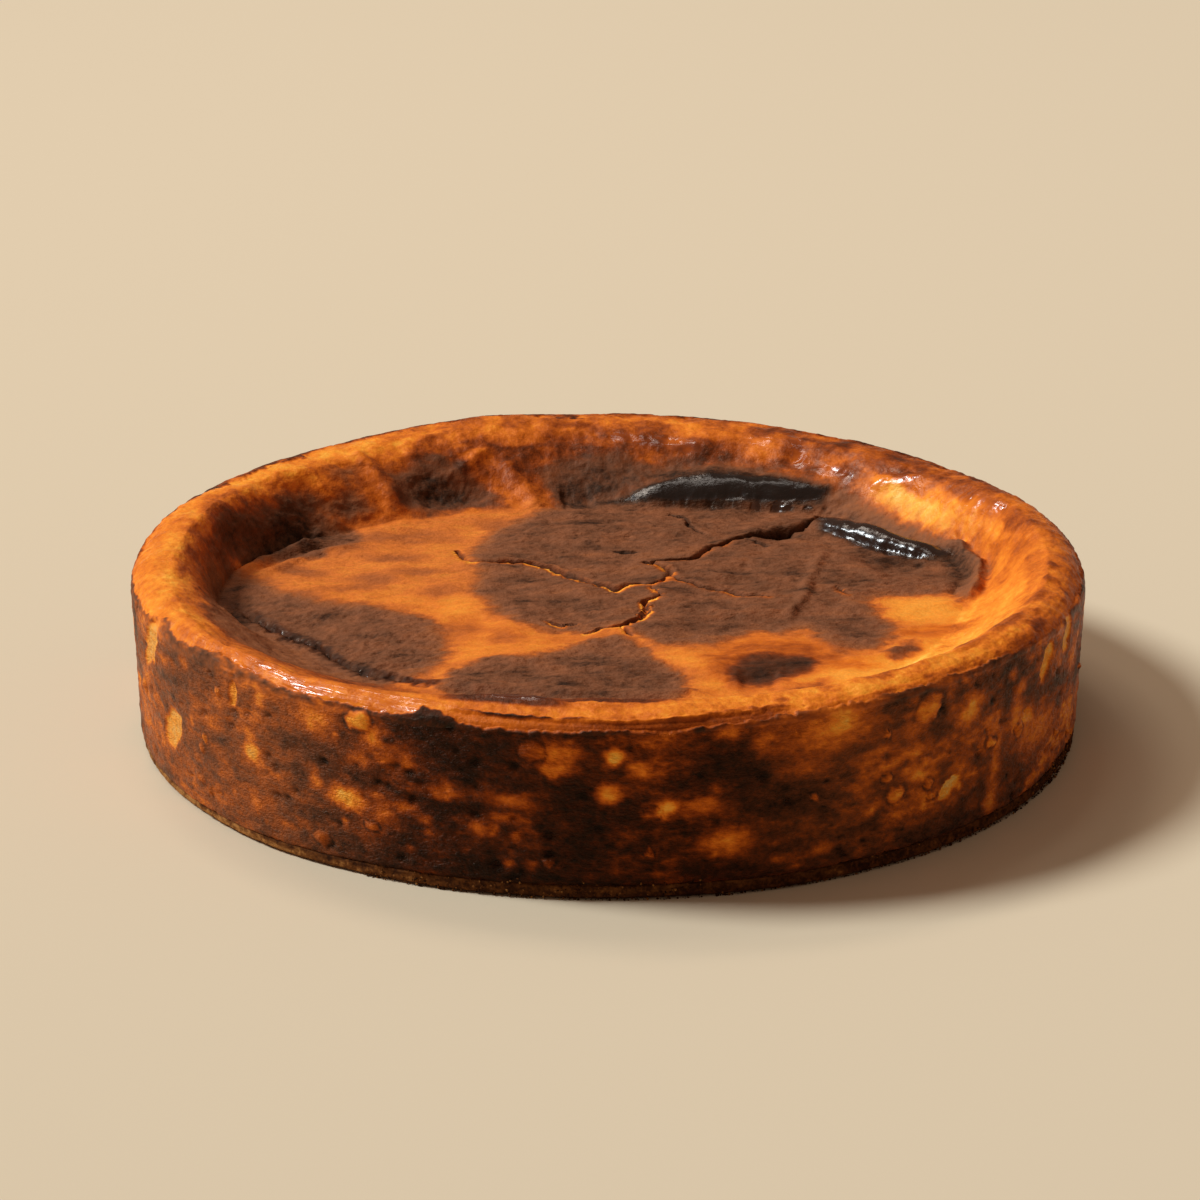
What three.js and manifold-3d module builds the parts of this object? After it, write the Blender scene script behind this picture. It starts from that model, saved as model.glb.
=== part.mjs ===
// A whole burnt-top cheesecake, as it stands after the tin's ring is taken off.
// Two solids: the baked filling with its raised rim, sunken and cracked top and
// skin folds, and the thin biscuit-crumb base that it stands on.
// Millimetres, +Z up, the flat underside at z = 0, the axis of the cake on Z.
// Angles run counter-clockwise from +X: 0 right, 90 back, 180 left, 270 front.
import * as THREE from 'three';
import { mergeVertices } from 'three/addons/utils/BufferGeometryUtils.js';
import Module from 'manifold-3d';

const wasm = await Module();
wasm.setup();

// ---- driving dimensions -------------------------------------------------
const TIN_R_TOP = 130.2;        // radius the tin gives the cake near the top
const TIN_R_BOTTOM = 128.2;     // the tin's draft: a little narrower below
const TIN_DRAFT_Z = 46;         // height over which the draft is measured
const BASE_H = 4.2;             // pressed crumb base
const BASE_EDGE = 0.9;          // its broken lower edge
const LAYER_GAP = 0.3;          // between the base and the filling
const FOOT_EDGE = 1.4;          // rounding of the filling where it meets the base
const DOME_H = 2.0;             // the sunken top is a little higher in the middle
const SEGMENTS = 120;           // steps round the cake
const SIDE_STEPS = 5;
const SHOULDER_STEPS = 6;
const SLOPE_STEPS = 8;
const TOP_STEPS = 9;
const SIDE_WAVE = 0.35;         // unevenness of the side
const RIM_WAVE = 0.45;          // unevenness of the rim

// Sizes that change round the cake: [angle in degrees, size in mm].
const LIP_Z = [[0, 41.6], [40, 41.4], [90, 41.8], [150, 42.0], [185, 43.0], [208, 44.2], [240, 44.8], [262, 46.4], [275, 46.6], [322, 46.2], [345, 43.2]];
const LIP_SQUARE = [[0, 2.0], [90, 2.0], [180, 2.0], [208, 2.0], [245, 2.0], [265, 2.6], [290, 2.5], [315, 2.1], [340, 2.0]];
const CREST_R = [[0, 120], [45, 116.5], [90, 116.5], [140, 116.5], [164, 116.5], [180, 118], [200, 122], [214, 125], [239, 124.4], [249, 121.5], [258, 118.8], [270, 117], [290, 118.5], [315, 121], [338, 121]];
const CREST_Z = [[0, 50.0], [22, 49.2], [42, 47.2], [60, 47.0], [78, 48.0], [100, 48.8], [118, 48.6], [130, 48.0], [150, 48.9], [180, 50.0], [205, 50.2], [230, 50.4], [250, 50.8], [270, 50.6], [292, 50.6], [315, 50.6], [338, 50.6]];
const TOP_R = [[0, 98], [12, 104], [28, 101], [52, 96], [72, 86], [90, 82], [112, 85], [138, 95], [156, 105], [171, 108], [184, 105], [193, 97], [203, 88], [222, 81], [250, 83], [280, 86], [315, 90], [340, 94]];
const TOP_Z = [[0, 34.2], [60, 33.6], [100, 33.4], [150, 32.6], [190, 31.8], [225, 32.4], [270, 33.2], [320, 34.0]];
const SLOPE_ROUND = [[0, 0.25], [60, 0.35], [120, 0.45], [145, 0.75], [165, 0.95], [184, 0.90], [198, 0.50], [212, 0.25], [235, 0.25], [270, 0.45], [310, 0.25]];

// Skin folds: from (angle, radius) to (angle, radius), height and half width.
const FOLDS = [
  { from: [85, 88], to: [52, 100], height: 3.8, half: 4.8 },
  { from: [49, 88], to: [21, 101], height: 3.6, half: 3.2 },
  { from: [24, 65], to: [340, 51], height: 1.0, half: 2.2 },
  { from: [164, 100], to: [136, 92], height: 1.3, half: 3.4 },
];

// Cracks in the sunken top: a few turning points (x, y) of each, its width and depth.
const CRACKS = [
  { run: [[-42, 39], [-37, 28.6], [-20, 29.5], [-5, 13], [4, 8], [15, 14]], width: 1.8, depth: 4.4 },
  { run: [[15.5, 13], [17, 21], [10, 30], [9, 35]], width: 1.3, depth: 3.7 },
  { run: [[13, 29.5], [24, 32], [34, 48], [49, 58.5], [58, 68]], width: 2.4, depth: 4.0 },
  { run: [[14, 13.5], [25, 10.6], [38, 0.5], [46, 2]], width: 1.2, depth: 3.4 },
  { run: [[16, 5], [10, -5], [9, -14], [-3, -23.5], [-9, -31]], width: 1.3, depth: 3.5 },
];

// ---- form ---------------------------------------------------------------
const rad = Math.PI / 180;

// Smooth closed curve through [angle, size] pairs.
function around(keys, deg) {
  const n = keys.length;
  const a = ((deg % 360) + 360) % 360;
  const angle = (i) => keys[((i % n) + n) % n][0] + 360 * Math.floor(i / n);
  const size = (i) => keys[((i % n) + n) % n][1];
  let k = -1;
  while (angle(k + 1) <= a) k += 1;
  const slope = (i) => (size(i + 1) - size(i - 1)) / (angle(i + 1) - angle(i - 1));
  const h = angle(k + 1) - angle(k);
  const t = (a - angle(k)) / h;
  const t2 = t * t;
  const t3 = t2 * t;
  return (2 * t3 - 3 * t2 + 1) * size(k) + (t3 - 2 * t2 + t) * h * slope(k)
    + (3 * t2 - 2 * t3) * size(k + 1) + (t3 - t2) * h * slope(k + 1);
}

const wave = (deg, turns) => turns.reduce((s, [n, phase], i) => s + Math.sin(n * deg * rad + phase) / (i + 1.4), 0);
const smooth = (u) => u * u * (3 - 2 * u);

function sideRadius(deg, z) {
  const draft = TIN_R_BOTTOM + (TIN_R_TOP - TIN_R_BOTTOM) * Math.min(1, z / TIN_DRAFT_Z);
  return draft + SIDE_WAVE * wave(deg + 0.5 * z, [[5, 0.4], [11, 1.9], [17, 3.1]]);
}

// How far the skin folds lift the top at a point of the plan.
function foldHeight(x, y) {
  let lift = 0;
  for (const { from, to, height, half } of FOLDS) {
    const [ax, ay] = [from[1] * Math.cos(from[0] * rad), from[1] * Math.sin(from[0] * rad)];
    const [bx, by] = [to[1] * Math.cos(to[0] * rad), to[1] * Math.sin(to[0] * rad)];
    const [dx, dy] = [bx - ax, by - ay];
    const t = Math.max(0, Math.min(1, ((x - ax) * dx + (y - ay) * dy) / (dx * dx + dy * dy)));
    const bow = 4 * t * (1 - t) * 3;
    const px = ax + dx * t;
    const py = ay + dy * t;
    const p = Math.hypot(px, py);
    const gap = Math.hypot(x - px * (1 + bow / p), y - py * (1 + bow / p));
    lift += height * Math.exp(-((gap / half) ** 2));
  }
  return lift;
}

// One meridian, from the middle of the underside up the side, over the rim and
// down into the sunken top: [radius, height] pairs.
function meridian(deg) {
  const c = Math.cos(deg * rad);
  const s = Math.sin(deg * rad);
  const z0 = BASE_H + LAYER_GAP;
  const lipZ = around(LIP_Z, deg);
  const lipR = sideRadius(deg, lipZ);
  const power = 2 / around(LIP_SQUARE, deg);
  const crestR = around(CREST_R, deg);
  const crestZ = around(CREST_Z, deg) + RIM_WAVE * wave(deg, [[7, 0.3], [13, 2.2], [19, 4.0]]);
  const topR = around(TOP_R, deg);
  const topZ = around(TOP_Z, deg);
  const round = around(SLOPE_ROUND, deg);
  const line = [[0, z0], [sideRadius(deg, z0) - FOOT_EDGE, z0]];
  for (let i = 0; i < SIDE_STEPS; i += 1) {
    const z = z0 + FOOT_EDGE + (lipZ - z0 - FOOT_EDGE) * (i / SIDE_STEPS);
    line.push([sideRadius(deg, z), z]);
  }
  for (let i = 0; i < SHOULDER_STEPS; i += 1) {
    const a = (i / SHOULDER_STEPS) * 90 * rad;
    line.push([crestR + (lipR - crestR) * Math.cos(a) ** power, lipZ + (crestZ - lipZ) * Math.sin(a) ** power]);
  }
  for (let i = 0; i < SLOPE_STEPS; i += 1) {
    const u = 1 - i / SLOPE_STEPS;
    const r = topR + (crestR - topR) * u;
    const fall = (1 - round) * smooth(u) + round * (1 - (1 - u) ** 2);
    line.push([r, topZ + (crestZ - topZ) * fall + foldHeight(r * c, r * s)]);
  }
  for (let i = 0; i <= TOP_STEPS; i += 1) {
    const v = 1 - i / TOP_STEPS;
    const r = topR * v;
    const flat = topZ * v + around(TOP_Z, 0) * (1 - v);
    line.push([r, flat + DOME_H * (1 - v * v) * smooth(Math.min(1, 3 * (1 - v))) + foldHeight(r * c, r * s)]);
  }
  return line;
}

// Turns a family of meridians into a closed surface: a lathe gives the faces,
// and each of its vertices takes its place from the meridian at its angle.
function revolve(lineAt) {
  const rows = lineAt(0).length;
  const plain = Array.from({ length: rows }, (_, j) => new THREE.Vector2(j === 0 || j === rows - 1 ? 0 : 1, j));
  const geometry = new THREE.LatheGeometry(plain, SEGMENTS);
  const position = geometry.getAttribute('position');
  for (let i = 0; i <= SEGMENTS; i += 1) {
    const deg = (360 * (i % SEGMENTS)) / SEGMENTS;
    lineAt(deg).forEach(([r, z], j) => {
      position.setXYZ(i * rows + j, r * Math.cos(deg * rad), r * Math.sin(deg * rad), z);
    });
  }
  return toSolid(geometry);
}

// Welds a closed surface, drops its collapsed faces and turns it face out.
function toSolid(geometry) {
  const bare = new THREE.BufferGeometry();
  bare.setAttribute('position', geometry.getAttribute('position'));
  bare.setIndex(geometry.getIndex());
  const welded = mergeVertices(bare, 1e-5);
  const p = welded.getAttribute('position').array;
  const index = welded.getIndex().array;
  const faces = [];
  let volume = 0;
  for (let i = 0; i < index.length; i += 3) {
    const [a, b, c] = [index[i], index[i + 1], index[i + 2]];
    if (a === b || b === c || c === a) continue;
    faces.push(a, b, c);
    const [A, B, C] = [a, b, c].map((k) => new THREE.Vector3(p[3 * k], p[3 * k + 1], p[3 * k + 2]));
    volume += A.dot(B.cross(C)) / 6;
  }
  if (volume < 0) {
    for (let i = 0; i < faces.length; i += 3) [faces[i], faces[i + 1]] = [faces[i + 1], faces[i]];
  }
  return new wasm.Manifold(new wasm.Mesh({
    numProp: 3,
    vertProperties: new Float32Array(p),
    triVerts: new Uint32Array(faces),
  }));
}

// A crack's plan outline: wide in the middle, narrow at both ends.
function crackSolid({ run, width, depth }, order) {
  const curve = new THREE.CatmullRomCurve3(run.map(([x, y]) => new THREE.Vector3(x, y, 0)), false, 'centripetal');
  const steps = 3 * (run.length - 1);
  const left = [];
  const right = [];
  for (let i = 0; i <= steps; i += 1) {
    const t = i / steps;
    const at = curve.getPointAt(t);
    const along = curve.getTangentAt(t);
    const half = 0.5 * width * (0.3 + 0.7 * Math.sin(Math.PI * t));
    left.push(new THREE.Vector2(at.x - along.y * half, at.y + along.x * half));
    right.unshift(new THREE.Vector2(at.x + along.y * half, at.y - along.x * half));
  }
  const floorZ = around(TOP_Z, 0) + DOME_H - depth - 0.05 * order;
  const geometry = new THREE.ExtrudeGeometry(new THREE.Shape([...left, ...right]), { depth: 30, bevelEnabled: false, steps: 1 });
  geometry.translate(0, 0, floorZ);
  const bare = new THREE.BufferGeometry();
  bare.setAttribute('position', geometry.getAttribute('position'));
  return toSolid(mergeVertices(bare, 1e-5));
}

function toGeometry(solid) {
  const mesh = solid.getMesh();
  const geometry = new THREE.BufferGeometry();
  geometry.setAttribute('position', new THREE.BufferAttribute(new Float32Array(mesh.vertProperties), 3));
  geometry.setIndex(new THREE.BufferAttribute(new Uint32Array(mesh.triVerts), 1));
  geometry.computeVertexNormals();
  return geometry;
}

// ---- the two pieces -----------------------------------------------------
let filling = revolve(meridian);
CRACKS.forEach((crack, i) => { filling = filling.subtract(crackSolid(crack, i)); });

const base = revolve((deg) => {
  const uneven = SIDE_WAVE * wave(deg, [[9, 1.1], [23, 0.2], [31, 2.6]]);
  const r = TIN_R_BOTTOM + uneven;
  return [[0, 0], [r - BASE_EDGE - 0.5, 0], [r, BASE_EDGE], [r + 0.1, BASE_H - 0.6], [r - 0.7, BASE_H], [0, BASE_H]];
});

const fillingMesh = new THREE.Mesh(
  toGeometry(filling),
  new THREE.MeshStandardMaterial({ color: 0x8a5222, roughness: 0.6, metalness: 0 }),
);
fillingMesh.name = 'baked_filling';

const baseMesh = new THREE.Mesh(
  toGeometry(base),
  new THREE.MeshStandardMaterial({ color: 0x8f6a3c, roughness: 0.9, metalness: 0 }),
);
baseMesh.name = 'crumb_base';

const cake = new THREE.Group();
cake.add(fillingMesh, baseMesh);

// The axis of the cake goes to the middle of its outline.
const outline = new THREE.Box3().setFromObject(cake);
cake.position.set(-(outline.min.x + outline.max.x) / 2, -(outline.min.y + outline.max.y) / 2, 0);

export default cake;
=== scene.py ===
"""A whole burnt-top cheesecake: the browned skin with its rim, folds, cracks and
burnt plates, and the biscuit-crumb base, over the part's own solids.
Lengths below are millimetres in the part's frame; the meshes are made in metres.
Angles run counter-clockwise from +X: 0 right, 90 back, 180 left, 270 front."""

import math

import bpy
import numpy as np
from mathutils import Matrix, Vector


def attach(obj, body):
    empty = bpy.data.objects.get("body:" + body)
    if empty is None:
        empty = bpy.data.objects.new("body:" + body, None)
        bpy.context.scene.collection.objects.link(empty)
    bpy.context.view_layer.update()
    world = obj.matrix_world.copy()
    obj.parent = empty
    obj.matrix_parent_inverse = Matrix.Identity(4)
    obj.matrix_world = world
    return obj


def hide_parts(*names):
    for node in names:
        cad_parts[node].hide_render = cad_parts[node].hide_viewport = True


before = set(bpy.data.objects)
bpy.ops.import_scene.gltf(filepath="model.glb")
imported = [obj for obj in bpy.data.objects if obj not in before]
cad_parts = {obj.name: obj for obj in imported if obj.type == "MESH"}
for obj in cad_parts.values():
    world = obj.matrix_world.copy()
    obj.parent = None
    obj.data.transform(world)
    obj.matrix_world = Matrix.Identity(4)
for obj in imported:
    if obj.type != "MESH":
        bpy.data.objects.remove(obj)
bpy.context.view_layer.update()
MM = 0.001
RNG = np.random.default_rng(20)


# ---------------------------------------------------------------- noise
def noise(p, seed=0):
    """Smooth gradient noise, about -1 to 1, at points p (n, 3)."""
    p = np.asarray(p, np.float32)
    cell = np.floor(p)
    f = np.ascontiguousarray((p - cell).T)
    c = np.ascontiguousarray(cell.T).astype(np.int32).astype(np.uint32)
    w = f * f * f * (f * (f * 6 - 15) + 10)
    kx, ky, kz, km = 374761393, 668265263, 2246822519, 3266489917
    hx = c[0] * np.uint32(kx) + np.uint32((seed * km) & 0xFFFFFFFF)
    hy, hz = c[1] * np.uint32(ky), c[2] * np.uint32(kz)
    out = np.zeros(len(p), np.float32)
    for dx in (0, 1):
        for dy in (0, 1):
            wxy = (w[0] if dx else 1 - w[0]) * (w[1] if dy else 1 - w[1])
            hxy = hx + hy + np.uint32((kx * dx + ky * dy) & 0xFFFFFFFF)
            for dz in (0, 1):
                h = hxy + hz + np.uint32(kz * dz)
                h = (h ^ (h >> np.uint32(15))) * np.uint32(kz)
                h = (h ^ (h >> np.uint32(13))) * np.uint32(km)
                h = h ^ (h >> np.uint32(16))
                g = ((h & np.uint32(1023)).astype(np.float32) - 511.5) * (f[0] - dx)
                g += (((h >> np.uint32(10)) & np.uint32(1023)).astype(np.float32) - 511.5) * (f[1] - dy)
                g += (((h >> np.uint32(20)) & np.uint32(1023)).astype(np.float32) - 511.5) * (f[2] - dz)
                out += wxy * (w[2] if dz else 1 - w[2]) * g
    return out * np.float32(1.5 / 511.5)


def fbm(p, octaves=3, seed=0, gain=0.5):
    total, amp, norm = 0.0, 1.0, 0.0
    q = np.asarray(p, float)
    for i in range(octaves):
        total = total + amp * noise(q, seed + 17 * i)
        norm += amp
        amp *= gain
        q = q * 2.03 + 11.7
    return total / norm


def smoothstep(a, b, x):
    t = np.clip((x - a) / (b - a), 0, 1)
    return t * t * (3 - 2 * t)


def mix(a, b, t):
    return a + (b - a) * t


# ---------------------------------------------------------------- form
TIN_R_TOP, TIN_R_BOTTOM, TIN_DRAFT_Z = 130.2, 128.2, 46.0
FOOT_EDGE, DOME_H = 0.7, 2.0
SIDE_WAVE, RIM_WAVE = 0.35, 0.45
# sizes that change round the cake: (angle, millimetres)
LIP_Z = [(0, 41.6), (40, 41.4), (90, 41.8), (150, 42.0), (185, 43.0), (208, 44.2), (240, 44.8), (262, 46.4), (275, 46.6), (322, 46.2), (345, 43.2)]
LIP_SQUARE = [(0, 2.0), (90, 2.0), (180, 2.0), (208, 2.0), (245, 2.0), (265, 2.6), (290, 2.5), (315, 2.1), (340, 2.0)]
CREST_R = [(0, 120), (45, 116.5), (90, 116.5), (140, 116.5), (164, 116.5), (180, 118), (200, 122), (214, 125), (239, 124.4), (249, 121.5), (258, 118.8),
           (270, 117), (290, 118.5), (315, 121), (338, 121)]
CREST_Z = [(0, 50.0), (22, 49.2), (42, 47.2), (60, 47.0), (78, 48.0), (100, 48.8), (118, 48.6), (130, 48.0), (150, 48.9),
           (180, 50.0), (205, 50.2), (230, 50.4), (250, 50.8), (270, 50.6), (292, 50.6), (315, 50.6), (338, 50.6)]
TOP_R = [(0, 98), (12, 104), (28, 101), (52, 96), (72, 86), (90, 82), (112, 85), (138, 95), (156, 105), (171, 108),
         (184, 105), (193, 97), (203, 88), (222, 81), (250, 83), (280, 86), (315, 90), (340, 94)]
TOP_Z = [(0, 34.2), (60, 33.6), (100, 33.4), (150, 32.6), (190, 31.8), (225, 32.4), (270, 33.2), (320, 34.0)]
SLOPE_ROUND = [(0, 0.25), (60, 0.35), (120, 0.45), (145, 0.75), (165, 0.95), (184, 0.9), (198, 0.5), (212, 0.25), (235, 0.25), (270, 0.45), (310, 0.25)]
# how high the crumb base shows under the side, and the upper edge of the dark skin that the tin's wall left there
FOOT_Z = [(0, 3.6), (90, 3.8), (165, 3.0), (185, 2.2), (215, 2.5), (232, 3.2), (250, 3.8), (270, 4.0), (300, 4.1), (330, 3.8)]
SKIN_Z = [(0, 44.6), (30, 45.0), (50, 45.4), (70, 46.2), (88, 47.6), (100, 48.2), (112, 48.3), (122, 47.6), (130, 46.6), (138, 47.4), (150, 47.9),
          (160, 47.6), (171, 45.8), (182, 44.6),
          (193, 45.6), (199, 46.2), (204.5, 48.7), (209, 47.3), (218, 48.7), (224, 48.2), (229, 47.2), (238, 47.2), (244, 46.9),
          (249.5, 49.0), (254, 47.1), (262, 46.9), (272, 47.7), (277, 46.9), (286, 48.4), (300, 48.6), (315, 48.4), (328, 47.4), (345, 45.8)]


def table(keys, step=0.25):
    """Smooth closed curve through (angle, value) pairs, sampled every step degrees."""
    deg = np.arange(0, 360, step)
    a = np.array([k[0] for k in keys], float)
    s = np.array([k[1] for k in keys], float)
    a = np.r_[a[-2:] - 360, a, a[:3] + 360]
    s = np.r_[s[-2:], s, s[:3]]
    m = np.zeros_like(s)
    m[1:-1] = (s[2:] - s[:-2]) / (a[2:] - a[:-2])
    i = np.clip(np.searchsorted(a, deg, side="right") - 1, 1, len(a) - 3)
    h = a[i + 1] - a[i]
    t = (deg - a[i]) / h
    t2, t3 = t * t, t * t * t
    return ((2 * t3 - 3 * t2 + 1) * s[i] + (t3 - 2 * t2 + t) * h * m[i]
            + (3 * t2 - 2 * t3) * s[i + 1] + (t3 - t2) * h * m[i + 1])


def at(tab, deg):
    x = (np.asarray(deg, float) % 360) * len(tab) / 360
    i = np.floor(x).astype(int)
    f = x - i
    return tab[i % len(tab)] * (1 - f) + tab[(i + 1) % len(tab)] * f


# how sharply the slope meets the crest: 0 rounded, 1 an edge
CREST_EDGE = [(0, 0.4), (40, 0.15), (90, 0.1), (150, 0.1), (190, 0.2), (215, 0.75), (236, 0.7), (250, 0.4), (285, 0.5), (312, 0.8), (342, 0.7)]
T_LIP, T_SQ, T_CR, T_CZ, T_TR, T_TZ, T_RD, T_SKIN, T_EDGE, T_FOOT = map(
    table, (LIP_Z, LIP_SQUARE, CREST_R, CREST_Z, TOP_R, TOP_Z, SLOPE_ROUND, SKIN_Z, CREST_EDGE, FOOT_Z))


def wave(deg, turns):
    return sum(np.sin(n * np.radians(deg) + p) / (i + 1.4) for i, (n, p) in enumerate(turns))


def side_radius(deg, z):
    return (TIN_R_BOTTOM + (TIN_R_TOP - TIN_R_BOTTOM) * np.minimum(1, z / TIN_DRAFT_Z)
            + SIDE_WAVE * wave(deg + 0.5 * z, [(5, 0.4), (11, 1.9), (17, 3.1)]))


def crest_height(deg):
    return at(T_CZ, deg) + RIM_WAVE * wave(deg, [(7, 0.3), (13, 2.2), (19, 4.0)])


def to_path(x, y, path, ragged=0.0, seed=0, reach=26.0):
    """Distance to a line through a few points, how far along it (0 to 1), the side and the nearest point."""
    q = np.array(path, float)
    if ragged:
        rng = np.random.default_rng(seed)
        for level in range(4):
            a, b = q[:-1], q[1:]
            n = np.stack([-(b - a)[:, 1], (b - a)[:, 0]], 1)
            m = (a + b) / 2 + n * rng.uniform(-1, 1, (len(a), 1)) * ragged
            out = np.empty((len(q) + len(m), 2))
            out[0::2], out[1::2] = q, m
            q = out
    seg = np.linalg.norm(q[1:] - q[:-1], axis=1)
    start = np.r_[0, np.cumsum(seg)]
    lo, hi = q.min(0) - reach, q.max(0) + reach
    some = np.flatnonzero((x > lo[0]) & (x < hi[0]) & (y > lo[1]) & (y < hi[1]))
    xs, ys = x[some], y[some]
    best = np.full(len(some), 1e9)
    along, hand = np.zeros(len(some)), np.zeros(len(some))
    near = np.stack([xs, ys], 1)
    for i in range(len(seg)):
        ax, ay = q[i]
        dx, dy = q[i + 1] - q[i]
        t = np.clip(((xs - ax) * dx + (ys - ay) * dy) / (seg[i] ** 2 + 1e-12), 0, 1)
        px, py = ax + dx * t, ay + dy * t
        d = np.hypot(xs - px, ys - py)
        k = d < best
        best[k] = d[k]
        along[k] = (start[i] + t[k] * seg[i]) / start[-1]
        hand[k] = np.sign(dx * (ys[k] - ay) - dy * (xs[k] - ax))
        near[k, 0], near[k, 1] = px[k], py[k]
    full = [np.full(len(x), 99.0), np.zeros(len(x)), np.zeros(len(x)), np.stack([x, y], 1)]
    for whole, part in zip(full, (best, along, hand, near)):
        whole[some] = part
    return full


# cracks in the sunken top: turning points, half width, depth and how much paler colour is painted along the near lip,
# partly the pale inside showing and partly painted light
CRACKS = [
    ([(-42.3, 41), (-40.5, 33), (-37.5, 28.5), (-28.4, 29.2), (-22, 28.4), (-16, 25), (-9.5, 17.5), (-5, 11), (2.2, 5.2), (9, 9),
      (12.5, 8), (15.5, 12)], 0.66, 3.0, 1.0),
    ([(15.5, 12), (17.6, 16.5), (16, 22), (13.2, 26), (10.5, 28.4)], 0.62, 2.9, 1.0),
    ([(12.4, 27.5), (18, 30), (23.5, 30.6), (27, 37), (32, 44), (36, 50)], 0.52, 2.5, 0.35),
    ([(36, 50), (42, 54.5), (49, 59.5), (55, 62), (58, 67), (61, 72)], 1.25, 3.6, 0.0),
    ([(38, 50), (42, 46.4), (46, 42)], 0.34, 1.6, 0.0),
    ([(17.6, 15.5), (22, 11), (27, 6), (33, 3.5), (38.5, -0.6), (44, -1.6)], 0.60, 2.6, 0.6),
    ([(12, 5.5), (14.6, -1.5), (10, -5.5), (10.8, -11.5), (8.4, -17.5), (3.5, -23.4), (-2.4, -24.4), (-6, -28)], 0.42, 1.9, 1.0),
    ([(3.6, -24.2), (6.6, -30.5)], 0.45, 2.0, 0.8),
    ([(-16.6, -18), (-12.2, -21.6), (-8.6, -19.8)], 0.30, 1.3, 0.8),
    ([(18, 75), (21.6, 72), (23, 63), (25, 57), (27.5, 53)], 0.28, 1.3, 0.0),
    ([(2, 38.5), (9, 38)], 0.22, 0.7, 0.0),
    ([(63, 8), (66, 2)], 0.26, 0.9, 0.5),
]
# skin folds and ridges: line, height, half width towards the middle and away from it, trough behind
RIDGES = [
    ([(7, 86.0), (15, 87.2), (25, 87.6), (35, 86.6), (45, 84.8), (55, 81.6), (64, 78.0)], 3.8, 4.4, 5.4, 1.2),
    ([(74, 76.5), (82, 74), (92, 68.5)], 1.1, 1.8, 1.8, 0.5),
    ([(57, 68), (64, 63), (71, 56), (79, 48), (88, 40.5), (96.5, 35)], 4.0, 3.7, 3.2, 1.8),
    ([(60.5, 40), (59.8, 31), (57.5, 20), (55, 7), (53.2, -4), (48, -18)], 1.0, 1.7, 1.2, 0.0),
    ([(91, 47), (98.5, 37), (103, 24), (102, 11), (97, -1.5)], 3.0, 2.0, 1.9, 1.1),
    ([(66, 34), (72, 26), (76, 15)], 0.9, 3.0, 2.6, 0.4),
    ([(33, 36), (44, 30), (56, 28)], 0.8, 3.0, 3.4, 0.3),
    ([(-28, 12), (-14, 10), (-2, 0)], 0.6, 3.0, 3.4, 0.3),
    ([(22, 20), (34, 16), (46, 14)], 0.7, 2.8, 3.0, 0.2),
    ([(-30, 52), (-12, 50), (4, 46)], 0.6, 3.2, 3.6, 0.2),
    ([(24, -12), (38, -14), (52, -8)], 0.7, 3.0, 2.6, 0.2),
    ([(-46, -58.5), (-30, -64), (-8, -68.5), (14, -69), (32, -65)], 1.1, 2.0, 2.4, 0.4),
    ([(-106, 20), (-99, 33), (-90, 45), (-77, 55)], 1.6, 2.2, 2.2, 0.9),
    ([(-98, 24), (-89, 36), (-80, 43), (-70, 48)], 1.3, 1.8, 2.0, 0.7),
    ([(-90, 42), (-84, 52), (-80, 60)], 1.1, 1.6, 1.8, 0.6),
    ([(-19, 79), (-23, 86), (-30, 96)], 1.9, 2.8, 2.8, 0.0),
    ([(-59, 71), (-63, 77), (-69, 84), (-76, 92)], 2.0, 2.6, 2.6, 0.0),
    ([(-80, 67), (-88, 72), (-97, 76)], 1.0, 2.4, 2.4, 0.0),
    ([(-48, 86), (-40, 93), (-33, 99)], 0.9, 1.6, 1.6, 0.0),
    ([(62, -44), (72, -42), (80, -36)], 0.8, 2.0, 2.0, 0.0),
    ([(70, -62), (84, -48), (92, -32)], 0.7, 2.2, 2.2, 0.0),
]
# creases and pockets: line, depth, half width
CREASES = [
    ([(-107, 9), (-100, -1), (-93.5, -10), (-87, -19), (-79, -28), (-72.5, -41), (-64, -49.5), (-54, -55.5), (-47, -59)], 1.7, 1.1),
    ([(-56, 79), (-42, 84), (-32, 85)], 2.0, 4.5),
    ([(-90, 60), (-80, 68)], 1.6, 5.0),
    ([(46, 54), (53, 59)], 2.8, 3.4),
    ([(-20, 65), (-8, 67), (6, 66)], 0.9, 4.6),
    ([(-14, 85), (-4, 87)], 1.8, 4.0),
    ([(76, 31), (88, 27)], 0.9, 4.0),
    ([(60, 16), (70, 8)], 0.5, 4.0),
    ([(34, -59), (46, -60)], 1.6, 5.0),
    ([(95, 5), (97.5, 14)], 0.8, 1.4),
    ([(-116, -61), (-104, -66), (-95, -70.5)], 0.7, 1.3),
]


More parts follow.
